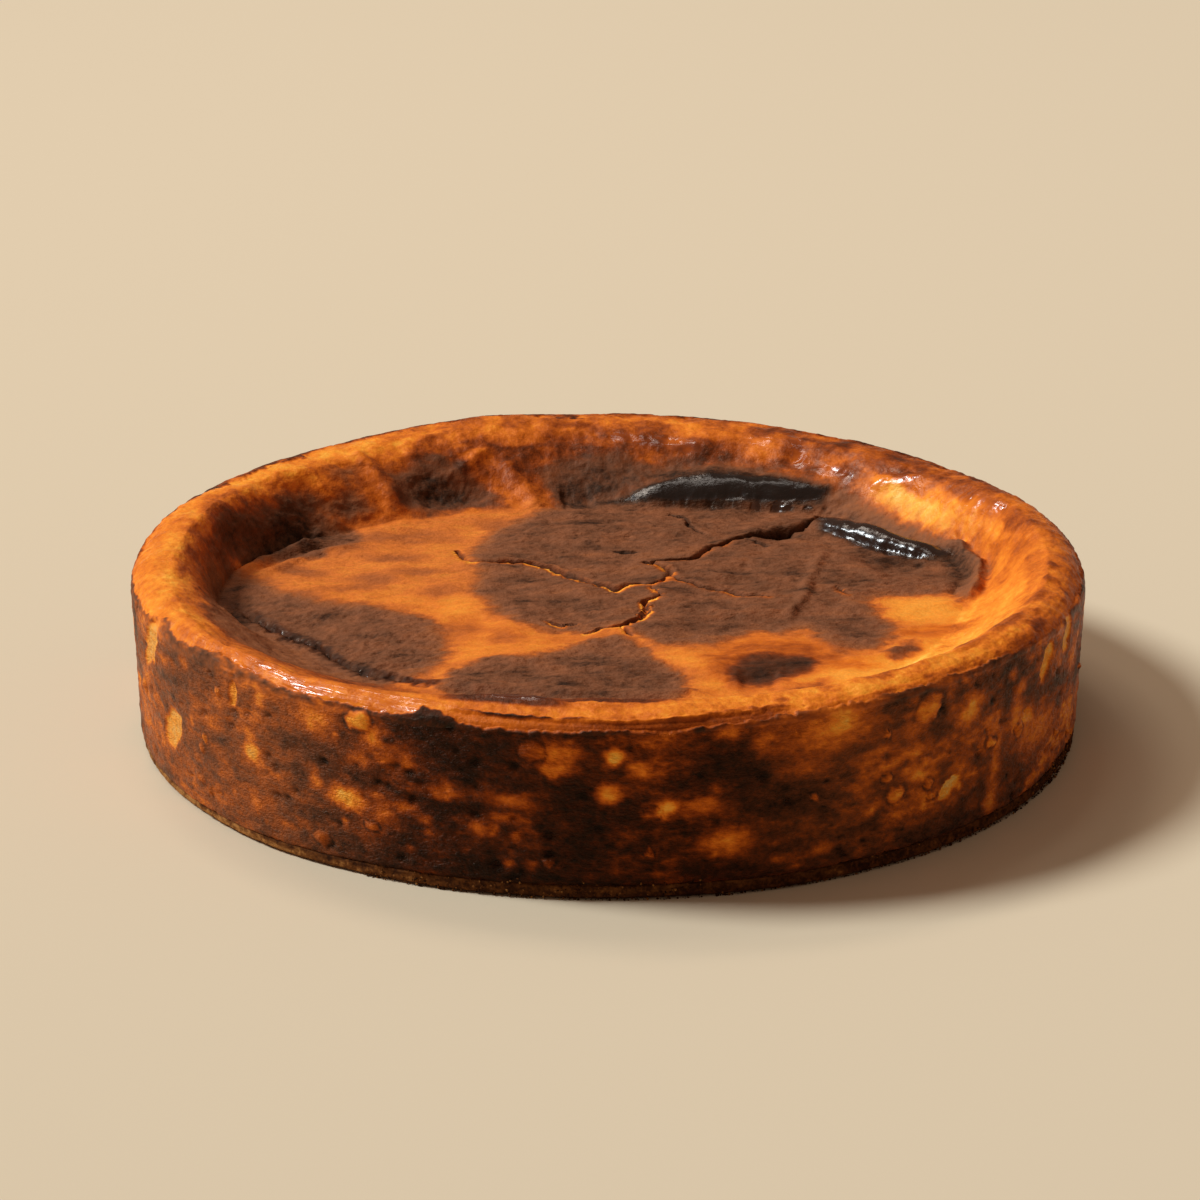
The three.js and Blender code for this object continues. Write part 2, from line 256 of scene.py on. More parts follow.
def plan_relief(x, y):
    """Height that folds, ridges, creases and cracks add to the top, how far each point is in a crack and on a lit lip."""
    lift = np.zeros(len(x))
    crack = np.zeros(len(x))
    lip = np.zeros(len(x))
    for i, (path, height, inner, outer, trough) in enumerate(RIDGES):
        d, t, hand, near = to_path(x, y, path, 0.05, 40 + i)
        away = np.hypot(x, y) > np.hypot(near[:, 0], near[:, 1])
        fade = smoothstep(0, 0.16, t) * smoothstep(1, 0.84, t) * 0.85 + 0.15
        half = np.where(away, outer, inner)
        bump = np.exp(-(d / half) ** 2)
        if i in (0, 2):                     # the two big folds: a round roll with a steep front
            wide = (7.4 if i == 0 else 5.4) * (0.72 + 0.28 * np.sin(np.pi * np.clip(t, 0, 1)))
            roll = np.clip(1 - (d / wide) ** 2.1, 0, 1) ** 0.62 * smoothstep(wide, 0.86 * wide, d)
            bump = np.where(away, bump, roll)
            fade = 0.06 + 0.94 * np.sin(np.pi * np.clip(t, 0, 1)) ** 0.55
        lift += height * fade * bump
        lift -= np.where(away, trough * fade * np.exp(-((d - 1.9 * outer) / (0.8 * outer)) ** 2), 0)
    for i, (path, depth, half) in enumerate(CREASES):
        d, t, hand, near = to_path(x, y, path, 0.05, 60 + i)
        lift -= depth * np.exp(-(d / half) ** 2) * (smoothstep(0, 0.2, t) * smoothstep(1, 0.8, t) * 0.8 + 0.2)
    for i, (path, half, depth, gold) in enumerate(CRACKS):
        d, t, hand, near = to_path(x, y, path, 0.11, 80 + i, 9.0)
        fade = 0.35 + 0.65 * np.sin(np.pi * np.clip(t, 0.02, 0.98)) ** 0.6
        rough = noise(np.stack([near[:, 0] / 2.2, near[:, 1] / 2.2, 0 * x + i], 1), 7)
        w = half * fade * (1 + 0.45 * rough)
        far = y > near[:, 1]
        lift -= depth * fade * np.exp(-np.abs(d / np.maximum(w, 0.1)) ** 2.4)
        lift += np.where(far, 0.40, 0.06) * np.exp(-((d - 1.5) / 1.7) ** 2) * fade
        crack = np.maximum(crack, np.exp(-(d / (w + 0.22)) ** 2) * (0.55 + 0.45 * fade))
        # a paler band along the near lip of each crack: the pale inside showing, with painted light on the lip
        broken = 0.35 + 0.65 * smoothstep(-0.45, 0.30, noise(np.stack([near[:, 0] / 4.3, near[:, 1] / 4.3, 0 * x + 3 * i], 1), 8))
        lip = np.maximum(lip, gold * fade * broken * np.where(far, 0.15, 1.0) * np.exp(-((d - w - 0.60) / 0.75) ** 2))
    return lift, crack, lip


def gather(x, y, reach=2.6, power=1.75):
    """Draws points of the plan towards the cracks, so that their edges are sharp."""
    for i, (path, half, depth, gold) in enumerate(CRACKS):
        if depth < 2:
            continue
        d, t, hand, near = to_path(x, y, path, 0.11, 80 + i, 9.0)
        k = np.where(d < reach, (np.maximum(d, 1e-6) / reach) ** (power - 1), 1.0)
        x, y = near[:, 0] + (x - near[:, 0]) * k, near[:, 1] + (y - near[:, 1]) * k
    return x, y


def slope_fall(u, deg):
    rd, edge = at(T_RD, deg), at(T_EDGE, deg)
    return mix((1 - rd) * u * u * (3 - 2 * u) + rd * (1 - (1 - u) ** 2), u * u * (1.6 - 0.6 * u), edge)


def top_form(x, y):
    """Plain height of the sunken top and its inner slope over the plan."""
    r = np.hypot(x, y)
    d = np.degrees(np.arctan2(y, x)) % 360
    tr, tz, cr, cz = at(T_TR, d), at(T_TZ, d), at(T_CR, d), crest_height(d)
    u = np.clip((r - tr) / (cr - tr), 0, 1)
    v = np.clip(r / tr, 0, 1)
    e = np.minimum(1, 3 * (1 - v))
    flat = tz * v + T_TZ[0] * (1 - v) + DOME_H * (1 - v * v) * e * e * (3 - 2 * e)
    return np.where(r < tr, flat, tz + (cz - tz) * slope_fall(u, d))


# ---------------------------------------------------------------- mesh
RINGS_TOP, RINGS_SLOPE, RINGS = 170, 226, 272     # sunken top, to the crest, to the lip
COLS = 6 * RINGS
ROWS = 57                                         # down the side

ring = np.concatenate([np.full(max(6 * k, 1), k) for k in range(RINGS + 1)])
first = np.r_[0, np.cumsum([max(6 * k, 1) for k in range(RINGS + 1)])]
slot = np.arange(len(ring)) - first[ring]
deg_t = 360.0 * slot / np.maximum(6 * ring, 1)
rad_t = np.radians(deg_t)


def top_faces():
    """Triangles between rings of 6k and 6k + 6 points; for each its ring, its sixth of a turn, and the place along
    that sixth and the ring of its corners."""
    tri, where = [], []
    for k in range(1, RINGS + 1):
        inner = max(k - 1, 1)
        for s in range(6):
            j = np.arange(k)
            o0 = first[k] + (s * k + j) % (6 * k)
            o1 = first[k] + (s * k + j + 1) % (6 * k)
            i0 = np.zeros(1, int) if k == 1 else first[k - 1] + (s * (k - 1) + j) % (6 * (k - 1))
            tri.append(np.stack([o0, o1, i0], 1))
            one = np.ones(k)
            where.append(np.stack([k * one, s * one, j / k, (j + 1) / k, j / inner, k * one, k * one, (k - 1) * one], 1))
            if k > 1:
                j = np.arange(k - 1)
                o1 = first[k] + (s * k + j + 1) % (6 * k)
                a = first[k - 1] + (s * (k - 1) + j) % (6 * (k - 1))
                b = first[k - 1] + (s * (k - 1) + j + 1) % (6 * (k - 1))
                tri.append(np.stack([a, o1, b], 1))
                one = np.ones(k - 1)
                where.append(np.stack([k * one, s * one, j / inner, (j + 1) / k, (j + 1) / inner, (k - 1) * one, k * one, (k - 1) * one], 1))
    return np.concatenate(tri), np.concatenate(where)


tr, cr, cz = at(T_TR, deg_t), at(T_CR, deg_t), crest_height(deg_t)
lz = at(T_LIP, deg_t)
lr = side_radius(deg_t, lz)
on_top = ring <= RINGS_SLOPE
r_plan = np.where(ring <= RINGS_TOP, tr * ring / RINGS_TOP,
                  tr + (cr - tr) * np.clip((ring - RINGS_TOP) / (RINGS_SLOPE - RINGS_TOP), 0, 1))
x, y = r_plan * np.cos(rad_t), r_plan * np.sin(rad_t)
gx, gy = gather(x[on_top], y[on_top])
x[on_top], y[on_top] = gx, gy
z = top_form(x, y)
turn = np.clip((RINGS - ring) / (RINGS - RINGS_SLOPE), 0, 1) * np.pi / 2     # shoulder angle, 0 at the lip
power = 2 / at(T_SQ, deg_t)
r_sh = cr + (lr - cr) * np.cos(turn) ** power
z_sh = lz + (cz - lz) * np.sin(turn) ** power
sh = ring > RINGS_SLOPE
x[sh], y[sh], z[sh] = (r_sh * np.cos(rad_t))[sh], (r_sh * np.sin(rad_t))[sh], z_sh[sh]
lift, crack, pale_and_lit_lip = plan_relief(x, y)
inner = smoothstep(RINGS_SLOPE, RINGS_SLOPE - 11, ring)
z = z + lift * inner
crack, pale_and_lit_lip = crack * (ring < RINGS_TOP + 20), pale_and_lit_lip * (ring < RINGS_TOP + 20)
top_xyz = np.stack([x, y, z], 1)

# the side, from the row below the lip to the rounded foot, and the flat underside
col = np.arange(COLS)
deg_c = 360.0 * col / COLS
lip_c = at(T_LIP, deg_c)
ring_c = np.stack([np.cos(np.radians(deg_c)) * 129, np.sin(np.radians(deg_c)) * 129, 0 * deg_c], 1)
z0 = at(T_FOOT, deg_c) + 0.7 * fbm(ring_c / 6.0, 3, 96) + 0.5 * fbm(ring_c / 1.7, 2, 30)
rows = []
for j in range(1, ROWS + 1):
    t = j / ROWS
    zz = lip_c + (z0 + FOOT_EDGE - lip_c) * t
    rr = side_radius(deg_c, zz)
    rows.append(np.stack([rr * np.cos(np.radians(deg_c)), rr * np.sin(np.radians(deg_c)), zz], 1))
for a in (30, 60, 90):
    zz = z0 + FOOT_EDGE * (1 - math.sin(math.radians(a)))
    rr = side_radius(deg_c, zz) - FOOT_EDGE * (1 - math.cos(math.radians(a)))
    rows.append(np.stack([rr * np.cos(np.radians(deg_c)), rr * np.sin(np.radians(deg_c)), zz], 1))
side_xyz = np.concatenate(rows + [np.array([[0, 0, z0.mean()]])])
NT = len(top_xyz)
SIDE_ROWS = ROWS + 3
seam = first[RINGS] + col
grid = np.vstack([seam[None], NT + np.arange(SIDE_ROWS * COLS).reshape(SIDE_ROWS, COLS)])
nxt = np.roll(grid, -1, axis=1)
faces_top, face_at = top_faces()
quads = []
for j in range(SIDE_ROWS):
    quads.append(np.stack([grid[j], grid[j + 1], nxt[j + 1]], 1))
    quads.append(np.stack([grid[j], nxt[j + 1], nxt[j]], 1))
centre = NT + SIDE_ROWS * COLS
fan = np.stack([grid[-1], np.full(COLS, centre), nxt[-1]], 1)
faces_side = np.concatenate(quads + [fan])
faces = np.concatenate([faces_top, faces_side])
P = np.concatenate([top_xyz, side_xyz])


def normals_of(pos, tri):
    n = np.cross(pos[tri[:, 1]] - pos[tri[:, 0]], pos[tri[:, 2]] - pos[tri[:, 0]])
    out = np.zeros_like(pos)
    for k in range(3):
        for axis in range(3):
            out[:, axis] += np.bincount(tri[:, k], n[:, axis], len(pos))
    return out / np.maximum(np.linalg.norm(out, axis=1, keepdims=True), 1e-12)


N = normals_of(P, faces)
if N[0, 2] < 0 or N[grid[40, 0]] @ np.array([1.0, 0, 0]) < 0:
    raise RuntimeError("the skin is inside out")

# ---------------------------------------------------------------- what is where
X, Y, Z = P.T
R = np.hypot(X, Y)
DEG = np.degrees(np.arctan2(Y, X)) % 360
is_top = np.arange(len(P)) < NT
k_ring = np.concatenate([ring, np.full(len(P) - NT, RINGS + 1)])
outside = k_ring > RINGS_SLOPE                   # beyond the crest: shoulder and side
crest_r, foot_r = at(T_CR, DEG), at(T_TR, DEG)
u_slope = np.clip((R - foot_r) / (crest_r - foot_r), 0, 1)
shoulder = np.clip((k_ring - RINGS_SLOPE) / (RINGS - RINGS_SLOPE), 0, 1)
crack, pale_and_lit_lip = (np.concatenate([k, np.zeros(len(P) - NT)]) for k in (crack, pale_and_lit_lip))
inland = k_ring <= RINGS_TOP + 26                # the sunken top and the foot of the slope
near_rim = is_top & (k_ring > RINGS_TOP - 40)
# distance down from the middle over the crest and the side, for patterns that follow the rim
merid = np.where(outside, crest_r + 13 * shoulder + np.maximum(0, at(T_LIP, DEG) - Z) * (k_ring > RINGS), R)


def only(on, points, octaves, seed):
    """Noise at some of the points, nothing at the others."""
    if on is None:
        return fbm(points, octaves, seed)
    out = np.zeros(len(points), np.float32)
    out[on] = fbm(points[on], octaves, seed)
    return out


P32 = P.astype(np.float32)


def n3(size, seed, octaves=3, stretch=(1, 1, 1), on=None):
    return only(on, P32 / (np.array(stretch, np.float32) * np.float32(size)), octaves, seed)


def rim_noise(along, across, seed, octaves=3, on=None):
    """Noise with its own scale round the cake and across the rim."""
    a = np.radians(DEG)
    k = 118.0 / along
    return only(on, np.stack([np.cos(a) * k, np.sin(a) * k, merid / across], 1), octaves, seed)


def plan_noise(long, short, turn, seed, octaves=3, shift=0.0, on=None):
    """Noise drawn out along a direction of the plan."""
    c, q = math.cos(turn), math.sin(turn)
    return only(on, np.stack([(X * c + Y * q) / long, (Y * c - X * q + shift) / short, 0 * X], 1), octaves, seed)


def depth_in(px, py, outline):
    """Distance into a closed outline, negative outside it."""
    q = np.array(outline, float)
    nx = np.roll(q, -1, axis=0)
    best = np.full(len(px), 1e9)
    odd = np.zeros(len(px), bool)
    for (ax, ay), (bx, by) in zip(q, nx):
        dx, dy = bx - ax, by - ay
        t = np.clip(((px - ax) * dx + (py - ay) * dy) / (dx * dx + dy * dy), 0, 1)
        best = np.minimum(best, np.hypot(px - ax - t * dx, py - ay - t * dy))
        odd ^= ((ay > py) != (by > py)) & (px < (bx - ax) * (py - ay) / (by - ay + 1e-12) + ax)
    return np.where(odd, best, -best)


def arc_of(a0, a1, edge=3.0):
    """1 between two angles."""
    half = ((a1 - a0) % 360) / 2
    d = np.abs((DEG - a0 - half + 180) % 360 - 180)
    return smoothstep(half + edge, half - edge, d)


ragged = 1.0 * fbm(np.stack([X / 7, Y / 7, 0 * X], 1), 3, 31) + 0.9 * fbm(np.stack([X / 2.2, Y / 2.2, 0 * X], 1), 2, 32)
skin_edge = at(T_SKIN, DEG) + ragged
skin = smoothstep(-0.28, 0.28, skin_edge - Z) * outside
peel_hi = 49.5 + 0.3 * fbm(np.stack([X / 3, Y / 3, 0 * X], 1), 2, 33)
peel_arc = arc_of(252, 291, 1.6)
peel = peel_arc * smoothstep(-0.2, 0.2, peel_hi - Z) * (1 - skin) * outside
peel_line = peel_arc * np.exp(-((Z - peel_hi - 0.10) / 0.17) ** 2) * outside * (R > 121)

# spots on the side: angle, height, half width and half height in mm, browning, kind, lean
# kind 0 soft amber, 1 peeled (a sharp shallow hollow), 2 blister (a raised round)
SPOTS = [
    (200.4, 39.4, 5.2, 8.4, 0.12, 1, 0.65), (206.4, 19.6, 5.4, 6.6, 0.12, 1, 0.5), (224.2, 26.3, 4.6, 3.0, 0.10, 0, 0.0),
    (221.4, 40.6, 2.0, 3.6, 0.24, 1, 0.0), (226.0, 42.4, 2.6, 3.0, 0.30, 0, 0.0), (234.4, 41.2, 7.2, 4.4, 0.33, 0, 0.0),
    (240.5, 44.0, 3.8, 2.7, 0.25, 2, 0.0), (242.4, 39.6, 3.2, 3.4, 0.30, 0, 0.2), (238.6, 21.0, 5.8, 3.6, 0.14, 0, 0.0),
    (225.0, 12.2, 4.8, 2.4, 0.42, 0, 0.0), (212.8, 27.4, 1.5, 1.6, 0.30, 0, 0.0), (196.3, 26.0, 4.0, 3.4, 0.32, 0, 0.3),
    (243.4, 19.0, 3.0, 2.0, 0.42, 0, 0.0), (245.8, 22.0, 4.6, 1.8, 0.46, 0, 0.0), (246.4, 34.6, 3.0, 2.6, 0.44, 0, 0.0),
    (264.2, 41.6, 5.6, 3.0, 0.36, 0, 0.0), (264.0, 36.6, 4.6, 2.6, 0.34, 0, 0.0), (270.4, 40.2, 2.7, 2.5, 0.17, 0, 0.0),
    (273.6, 36.8, 3.2, 3.0, 0.36, 0, 0.0), (270.0, 30.4, 3.6, 3.2, 0.27, 0, 0.0), (276.6, 26.0, 3.4, 3.2, 0.18, 0, 0.0),
    (280.4, 26.0, 7.0, 3.0, 0.42, 0, 0.0), (283.6, 15.8, 7.0, 3.2, 0.36, 0, 0.0), (251.2, 27.8, 5.6, 2.4, 0.46, 0, 0.0),
    (259.2, 27.0, 6.6, 1.8, 0.46, 0, 0.0), (258.4, 22.4, 5.0, 1.6, 0.46, 0, 0.0), (276.0, 45.0, 9.0, 3.6, 0.52, 0, 0.0),
    (296.0, 43.4, 12.0, 6.8, 0.38, 0, 0.0), (297.4, 44.6, 5.0, 3.6, 0.30, 0, 0.0), (288.0, 43.0, 4.0, 5.0, 0.46, 0, 0.0),
    (283.6, 46.0, 4.0, 2.6, 0.38, 0, 0.0), (309.6, 42.4, 4.2, 4.2, 0.38, 2, 0.3), (307.6, 37.6, 4.2, 2.8, 0.46, 0, 0.0),
    (316.6, 37.2, 5.2, 4.2, 0.34, 0, 0.3), (313.4, 17.2, 3.4, 3.2, 0.25, 1, 0.7), (308.2, 23.8, 3.2, 1.9, 0.34, 0, -0.5),
    (321.8, 21.0, 2.6, 11.0, 0.42, 0, 0.1), (321.6, 9.0, 3.4, 5.0, 0.38, 0, 0.0), (333.2, 39.4, 3.0, 5.4, 0.30, 1, 0.3),
    (340.4, 41.6, 4.0, 4.6, 0.28, 1, 0.2), (328.8, 26.8, 3.6, 3.4, 0.32, 0, -0.4), (332.4, 20.6, 13.0, 6.0, 0.38, 0, 0.0),
    (344.0, 33.0, 6.0, 5.0, 0.38, 0, 0.0), (302.0, 33.4, 8.0, 2.6, 0.54, 0, 0.0), (293.0, 33.6, 7.0, 2.6, 0.52, 0, 0.0),
    (190.0, 20.0, 6.0, 4.0, 0.36, 0, 0.0), (186.0, 34.0, 4.0, 5.0, 0.30, 0, 0.0), (350.0, 18.0, 7.0, 4.0, 0.40, 0, 0.0),
]
for k in range(46):                        # the far side goes on in the same way
    size = RNG.uniform(1.6, 6.0)
    SPOTS.append((RNG.uniform(-6, 184) % 360, RNG.uniform(8, 44), size * RNG.uniform(0.8, 1.5), size * RNG.uniform(0.6, 1.1),
                  RNG.uniform(0.16, 0.5), int(RNG.choice([0, 0, 0, 0, 1, 2])), RNG.uniform(-0.4, 0.4)))

for k in range(150):                       # small bubbles all round
    d0, size = RNG.uniform(0, 360), math.exp(RNG.uniform(math.log(1.0), math.log(2.4)))
    SPOTS.append((d0, RNG.uniform(8, 43), size * RNG.uniform(0.9, 1.5), size * RNG.uniform(0.8, 1.3),
                  RNG.uniform(0.34, 0.50) + 0.10 * (246 < d0 < 292), int(RNG.choice([0, 0, 0, 2])), 0.0))

# burning of the side: a dark, streaked ground with lighter spots
SIDE_DARK = [(0, 0.60), (60, 0.68), (120, 0.68), (165, 0.66), (182, 0.66), (196, 0.56), (206, 0.55), (218, 0.54), (230, 0.58), (243, 0.74), (256, 0.88),
             (272, 0.86), (285, 0.80), (296, 0.71), (315, 0.66), (330, 0.60), (345, 0.59)]
streak = n3(9.0, 41, 4, (1.9, 1.9, 0.45), outside)
cloud = n3(20.0, 42, 3, (1.2, 1.2, 0.9), outside)
mottle = n3(5.0, 48, 3, (1.3, 1.3, 0.8), outside)
fleck = n3(2.2, 43, 3, (1.5, 1.5, 0.75), outside)
hair = n3(1.5, 40, 2, (5.0, 5.0, 0.55), outside)
b_side = at(table(SIDE_DARK), DEG) + 0.42 * cloud + 0.24 * streak + 0.15 * mottle + 0.09 * fleck + 0.10 * hair
b_side = b_side + 0.10 * smoothstep(14, 5, Z)
flake = n3(4.0, 49, 4, (1.6, 1.6, 0.85), outside)       # crisp scorched flakes
b_side = b_side + 0.03 + 0.11 * (smoothstep(-0.06, 0.20, flake) - 0.45) + 0.07 * (smoothstep(0.0, 0.2, n3(2.0, 29, 3, (1.8, 1.8, 0.8), outside)) - 0.4)
for d0, z_0, w_, h_, amount in ((248, 46, 9, 5, 0.28), (256, 39, 16, 4, 0.12), (283, 41, 7, 6, 0.24), (284, 36, 10, 3, 0.18), (268, 23, 14, 5, 0.06),
                                (216, 44, 9, 4.5, 0.24), (325, 43, 6, 4, 0.26), (304, 45.5, 7, 2.5, 0.26), (322, 15, 5, 9, 0.08), (311, 37, 3, 6, 0.2),
                                (324, 33, 3, 8, 0.25), (300, 36, 7, 3, 0.2), (232, 33, 12, 3, 0.2), (240, 28, 8, 3, 0.18), (210, 41, 7, 7, 0.24),
                                (214, 20, 8, 3, 0.12), (246, 13, 9, 5, 0.16), (292, 25, 8, 4, 0.12), (298, 14, 10, 4, 0.14), (330, 34, 5, 5, 0.16)):
    e = np.hypot(((DEG - d0 + 180) % 360 - 180) * 2.25 / w_, (Z - z_0) / h_) + 0.6 * streak + 0.4 * mottle + 0.4 * fleck
    b_side = b_side + amount * smoothstep(1.5, 0.35, e)
recess = np.zeros(len(P))
blister = np.zeros(len(P))
wx = 1.6 * n3(6.0, 44, 2, on=outside) + 0.8 * n3(1.9, 45, 2, on=outside)
wz = 1.6 * n3(6.0, 46, 2, on=outside) + 0.8 * n3(1.9, 47, 2, on=outside)
for d0, z_0, w_, h_, value, kind, lean in SPOTS:
    value -= 0.05 * (value < 0.38)
    dx = ((DEG - d0 + 180) % 360 - 180) * np.pi / 180 * 129
    near = (np.abs(dx) < 2.4 * w_ + 10) & (np.abs(Z - z_0) < 2.4 * h_ + 10) & outside
    if not near.any():
        continue
    dz = Z[near] - z_0
    e = np.hypot((dx[near] - lean * dz + wx[near]) / w_, (dz + wz[near]) / h_)
    soft = {0: smoothstep(1.4, 0.35, e), 1: smoothstep(1.14, 0.80, e), 2: smoothstep(1.10, 0.78, e)}[kind]
    b = b_side[near]
    b = mix(b, np.minimum(b, 0.58), 0.55 * smoothstep(2.1, 0.7, e))
    b_side[near] = mix(b, np.minimum(b, value + 0.10 * fleck[near] + (0.12 * e if kind != 1 else 0.04 * e)), soft)
    if kind == 1:
        recess[near] = np.maximum(recess[near], soft)
    if kind == 2:
        blister[near] = np.maximum(blister[near], smoothstep(1.15, 0.2, e))
        b_side[near] += 0.22 * np.exp(-((e - 1.15) / 0.16) ** 2)

b_side = mix(b_side, 0.66 + 1.35 * (b_side - 0.66), arc_of(292, 350, 8))
b_side = np.where(b_side > 0.74, 0.74 + 0.20 * (1 - np.exp(-(b_side - 0.74) / 0.20)), b_side)
b_side = b_side + 0.10 * fleck + 0.09 * n3(1.2, 39, 2, (1.4, 1.4, 0.8), outside)
char = smoothstep(2.6, 0.3, skin_edge - Z) * skin * (0.3 + 0.7 * arc_of(194, 262, 8))
b_side = b_side + 0.16 * char * smoothstep(-0.3, 0.3, fleck + mottle)
b_side = mix(b_side, np.minimum(b_side, 0.84 + 0.1 * fleck), char)

# browning of the rim and the inner slope: at the foot, half way, on the crest and over the shoulder
RIM_FOOT = [(0, 0.24), (20, 0.32), (40, 0.40), (60, 0.52), (90, 0.52), (110, 0.46), (130, 0.48), (150, 0.50), (165, 0.44), (180, 0.34),
            (196, 0.46), (212, 0.60), (232, 0.56), (250, 0.36), (270, 0.5), (290, 0.32), (310, 0.22), (340, 0.16)]
RIM_MID = [(0, 0.40), (15, 0.34), (30, 0.24), (45, 0.34), (60, 0.60), (75, 0.66), (90, 0.68), (105, 0.66), (118, 0.60), (130, 0.46), (145, 0.40),
           (158, 0.36), (170, 0.33), (185, 0.33), (200, 0.42), (215, 0.52), (232, 0.48), (245, 0.40), (262, 0.5), (280, 0.46), (292, 0.24), (310, 0.11),
           (330, 0.13), (345, 0.24)]
RIM_CREST = [(0, 0.40), (20, 0.47), (40, 0.54), (60, 0.52), (80, 0.45), (100, 0.44), (115, 0.36), (128, 0.27), (145, 0.27), (165, 0.28), (180, 0.29),
             (196, 0.28), (208, 0.34), (225, 0.40), (245, 0.38), (262, 0.38), (275, 0.34), (288, 0.32), (300, 0.30), (320, 0.32), (340, 0.36)]
RIM_OUT = [(0, 0.48), (30, 0.56), (60, 0.60), (90, 0.60), (112, 0.62), (130, 0.50), (150, 0.40), (180, 0.32), (198, 0.28), (212, 0.36), (235, 0.36),
           (255, 0.36), (272, 0.36), (288, 0.34), (300, 0.36), (318, 0.42), (335, 0.46)]
f0, f1, f2, f3 = (at(table(k), DEG) for k in (RIM_FOOT, RIM_MID, RIM_CREST, RIM_OUT))
b_rim = np.where(u_slope < 0.5, mix(f0, f1, smoothstep(0.0, 0.5, u_slope)), mix(f1, f2, smoothstep(0.55, 1.0, u_slope)))
b_rim = mix(b_rim, f3, smoothstep(0.12, 0.75, shoulder))
scratch = rim_noise(2.6, 9.0, 51, 3, near_rim)      # short marks across the rim
flow = rim_noise(16.0, 2.6, 54, 3, near_rim)        # long marks round it
patch = rim_noise(9.0, 6.0, 57, 3, near_rim)
b_rim = b_rim + 0.17 * n3(13, 52, 3, on=near_rim) + 0.11 * n3(4.6, 53, 3, on=near_rim) + 0.08 * scratch + 0.10 * flow
b_rim = b_rim + 0.04 * n3(1.7, 56, 2, on=near_rim)
backside = arc_of(10, 128, 10)
b_rim = b_rim + backside * 0.30 * patch * smoothstep(0.2, 0.6, u_slope)
b_rim = b_rim + 0.20 * smoothstep(0.12, 0.42, patch) * arc_of(285, 372, 8) * smoothstep(0.9, 1.0, u_slope)
# darker marks on the crest and bright places of the slope: angle, radius, half length, half width, browning; the first
# five, at the left crest, are painted shade of the rim's wrinkles, the other dark ones scorching
for d0, r_0, w_, h_, value in ((163, 114, 6, 4, 0.60), (171, 116, 5, 2, 0.52), (178, 114, 4, 2, 0.55), (157, 117, 7, 1.5, 0.50), (186, 117, 6, 2, 0.48),
                               (36, 106.5, 16, 3.6, 0.05), (24, 107, 9, 3.0, 0.12), (8, 106, 12, 4.0, 0.27), (352, 106, 12, 5, 0.25),
                               (44, 113, 8, 2.5, 0.66), (28, 115, 8, 3, 0.62), (50, 108, 5, 3, 0.68), (14, 117, 7, 2.5, 0.58), (33, 122, 9, 2, 0.70),
                               (331, 121, 8, 3, 0.62), (322, 119.5, 6, 2.5, 0.60), (309, 119, 5, 2, 0.58), (342, 120, 7, 3, 0.60), (298, 117, 6, 2, 0.52),
                               (316, 124, 10, 2.5, 0.26), (303, 124, 9, 2.5, 0.22), (326, 125, 6, 2, 0.28), (75, 112, 10, 3, 0.34), (66, 109, 6, 3, 0.36),
                               (95, 113, 7, 2.4, 0.62), (84, 114, 6, 2, 0.60), (104, 108, 8, 3, 0.40), (112, 104, 6, 3, 0.36)):
    e = np.hypot((((DEG - d0 + 180) % 360 - 180) * np.pi / 180 * 116 + 3.0 * patch + 2.5 * scratch) / w_, (merid - r_0 + 2.5 * flow + 1.5 * patch) / h_)
    b_rim = mix(b_rim, value + 0.08 * patch + 0.06 * scratch, 0.85 * smoothstep(1.45, 0.45, e))

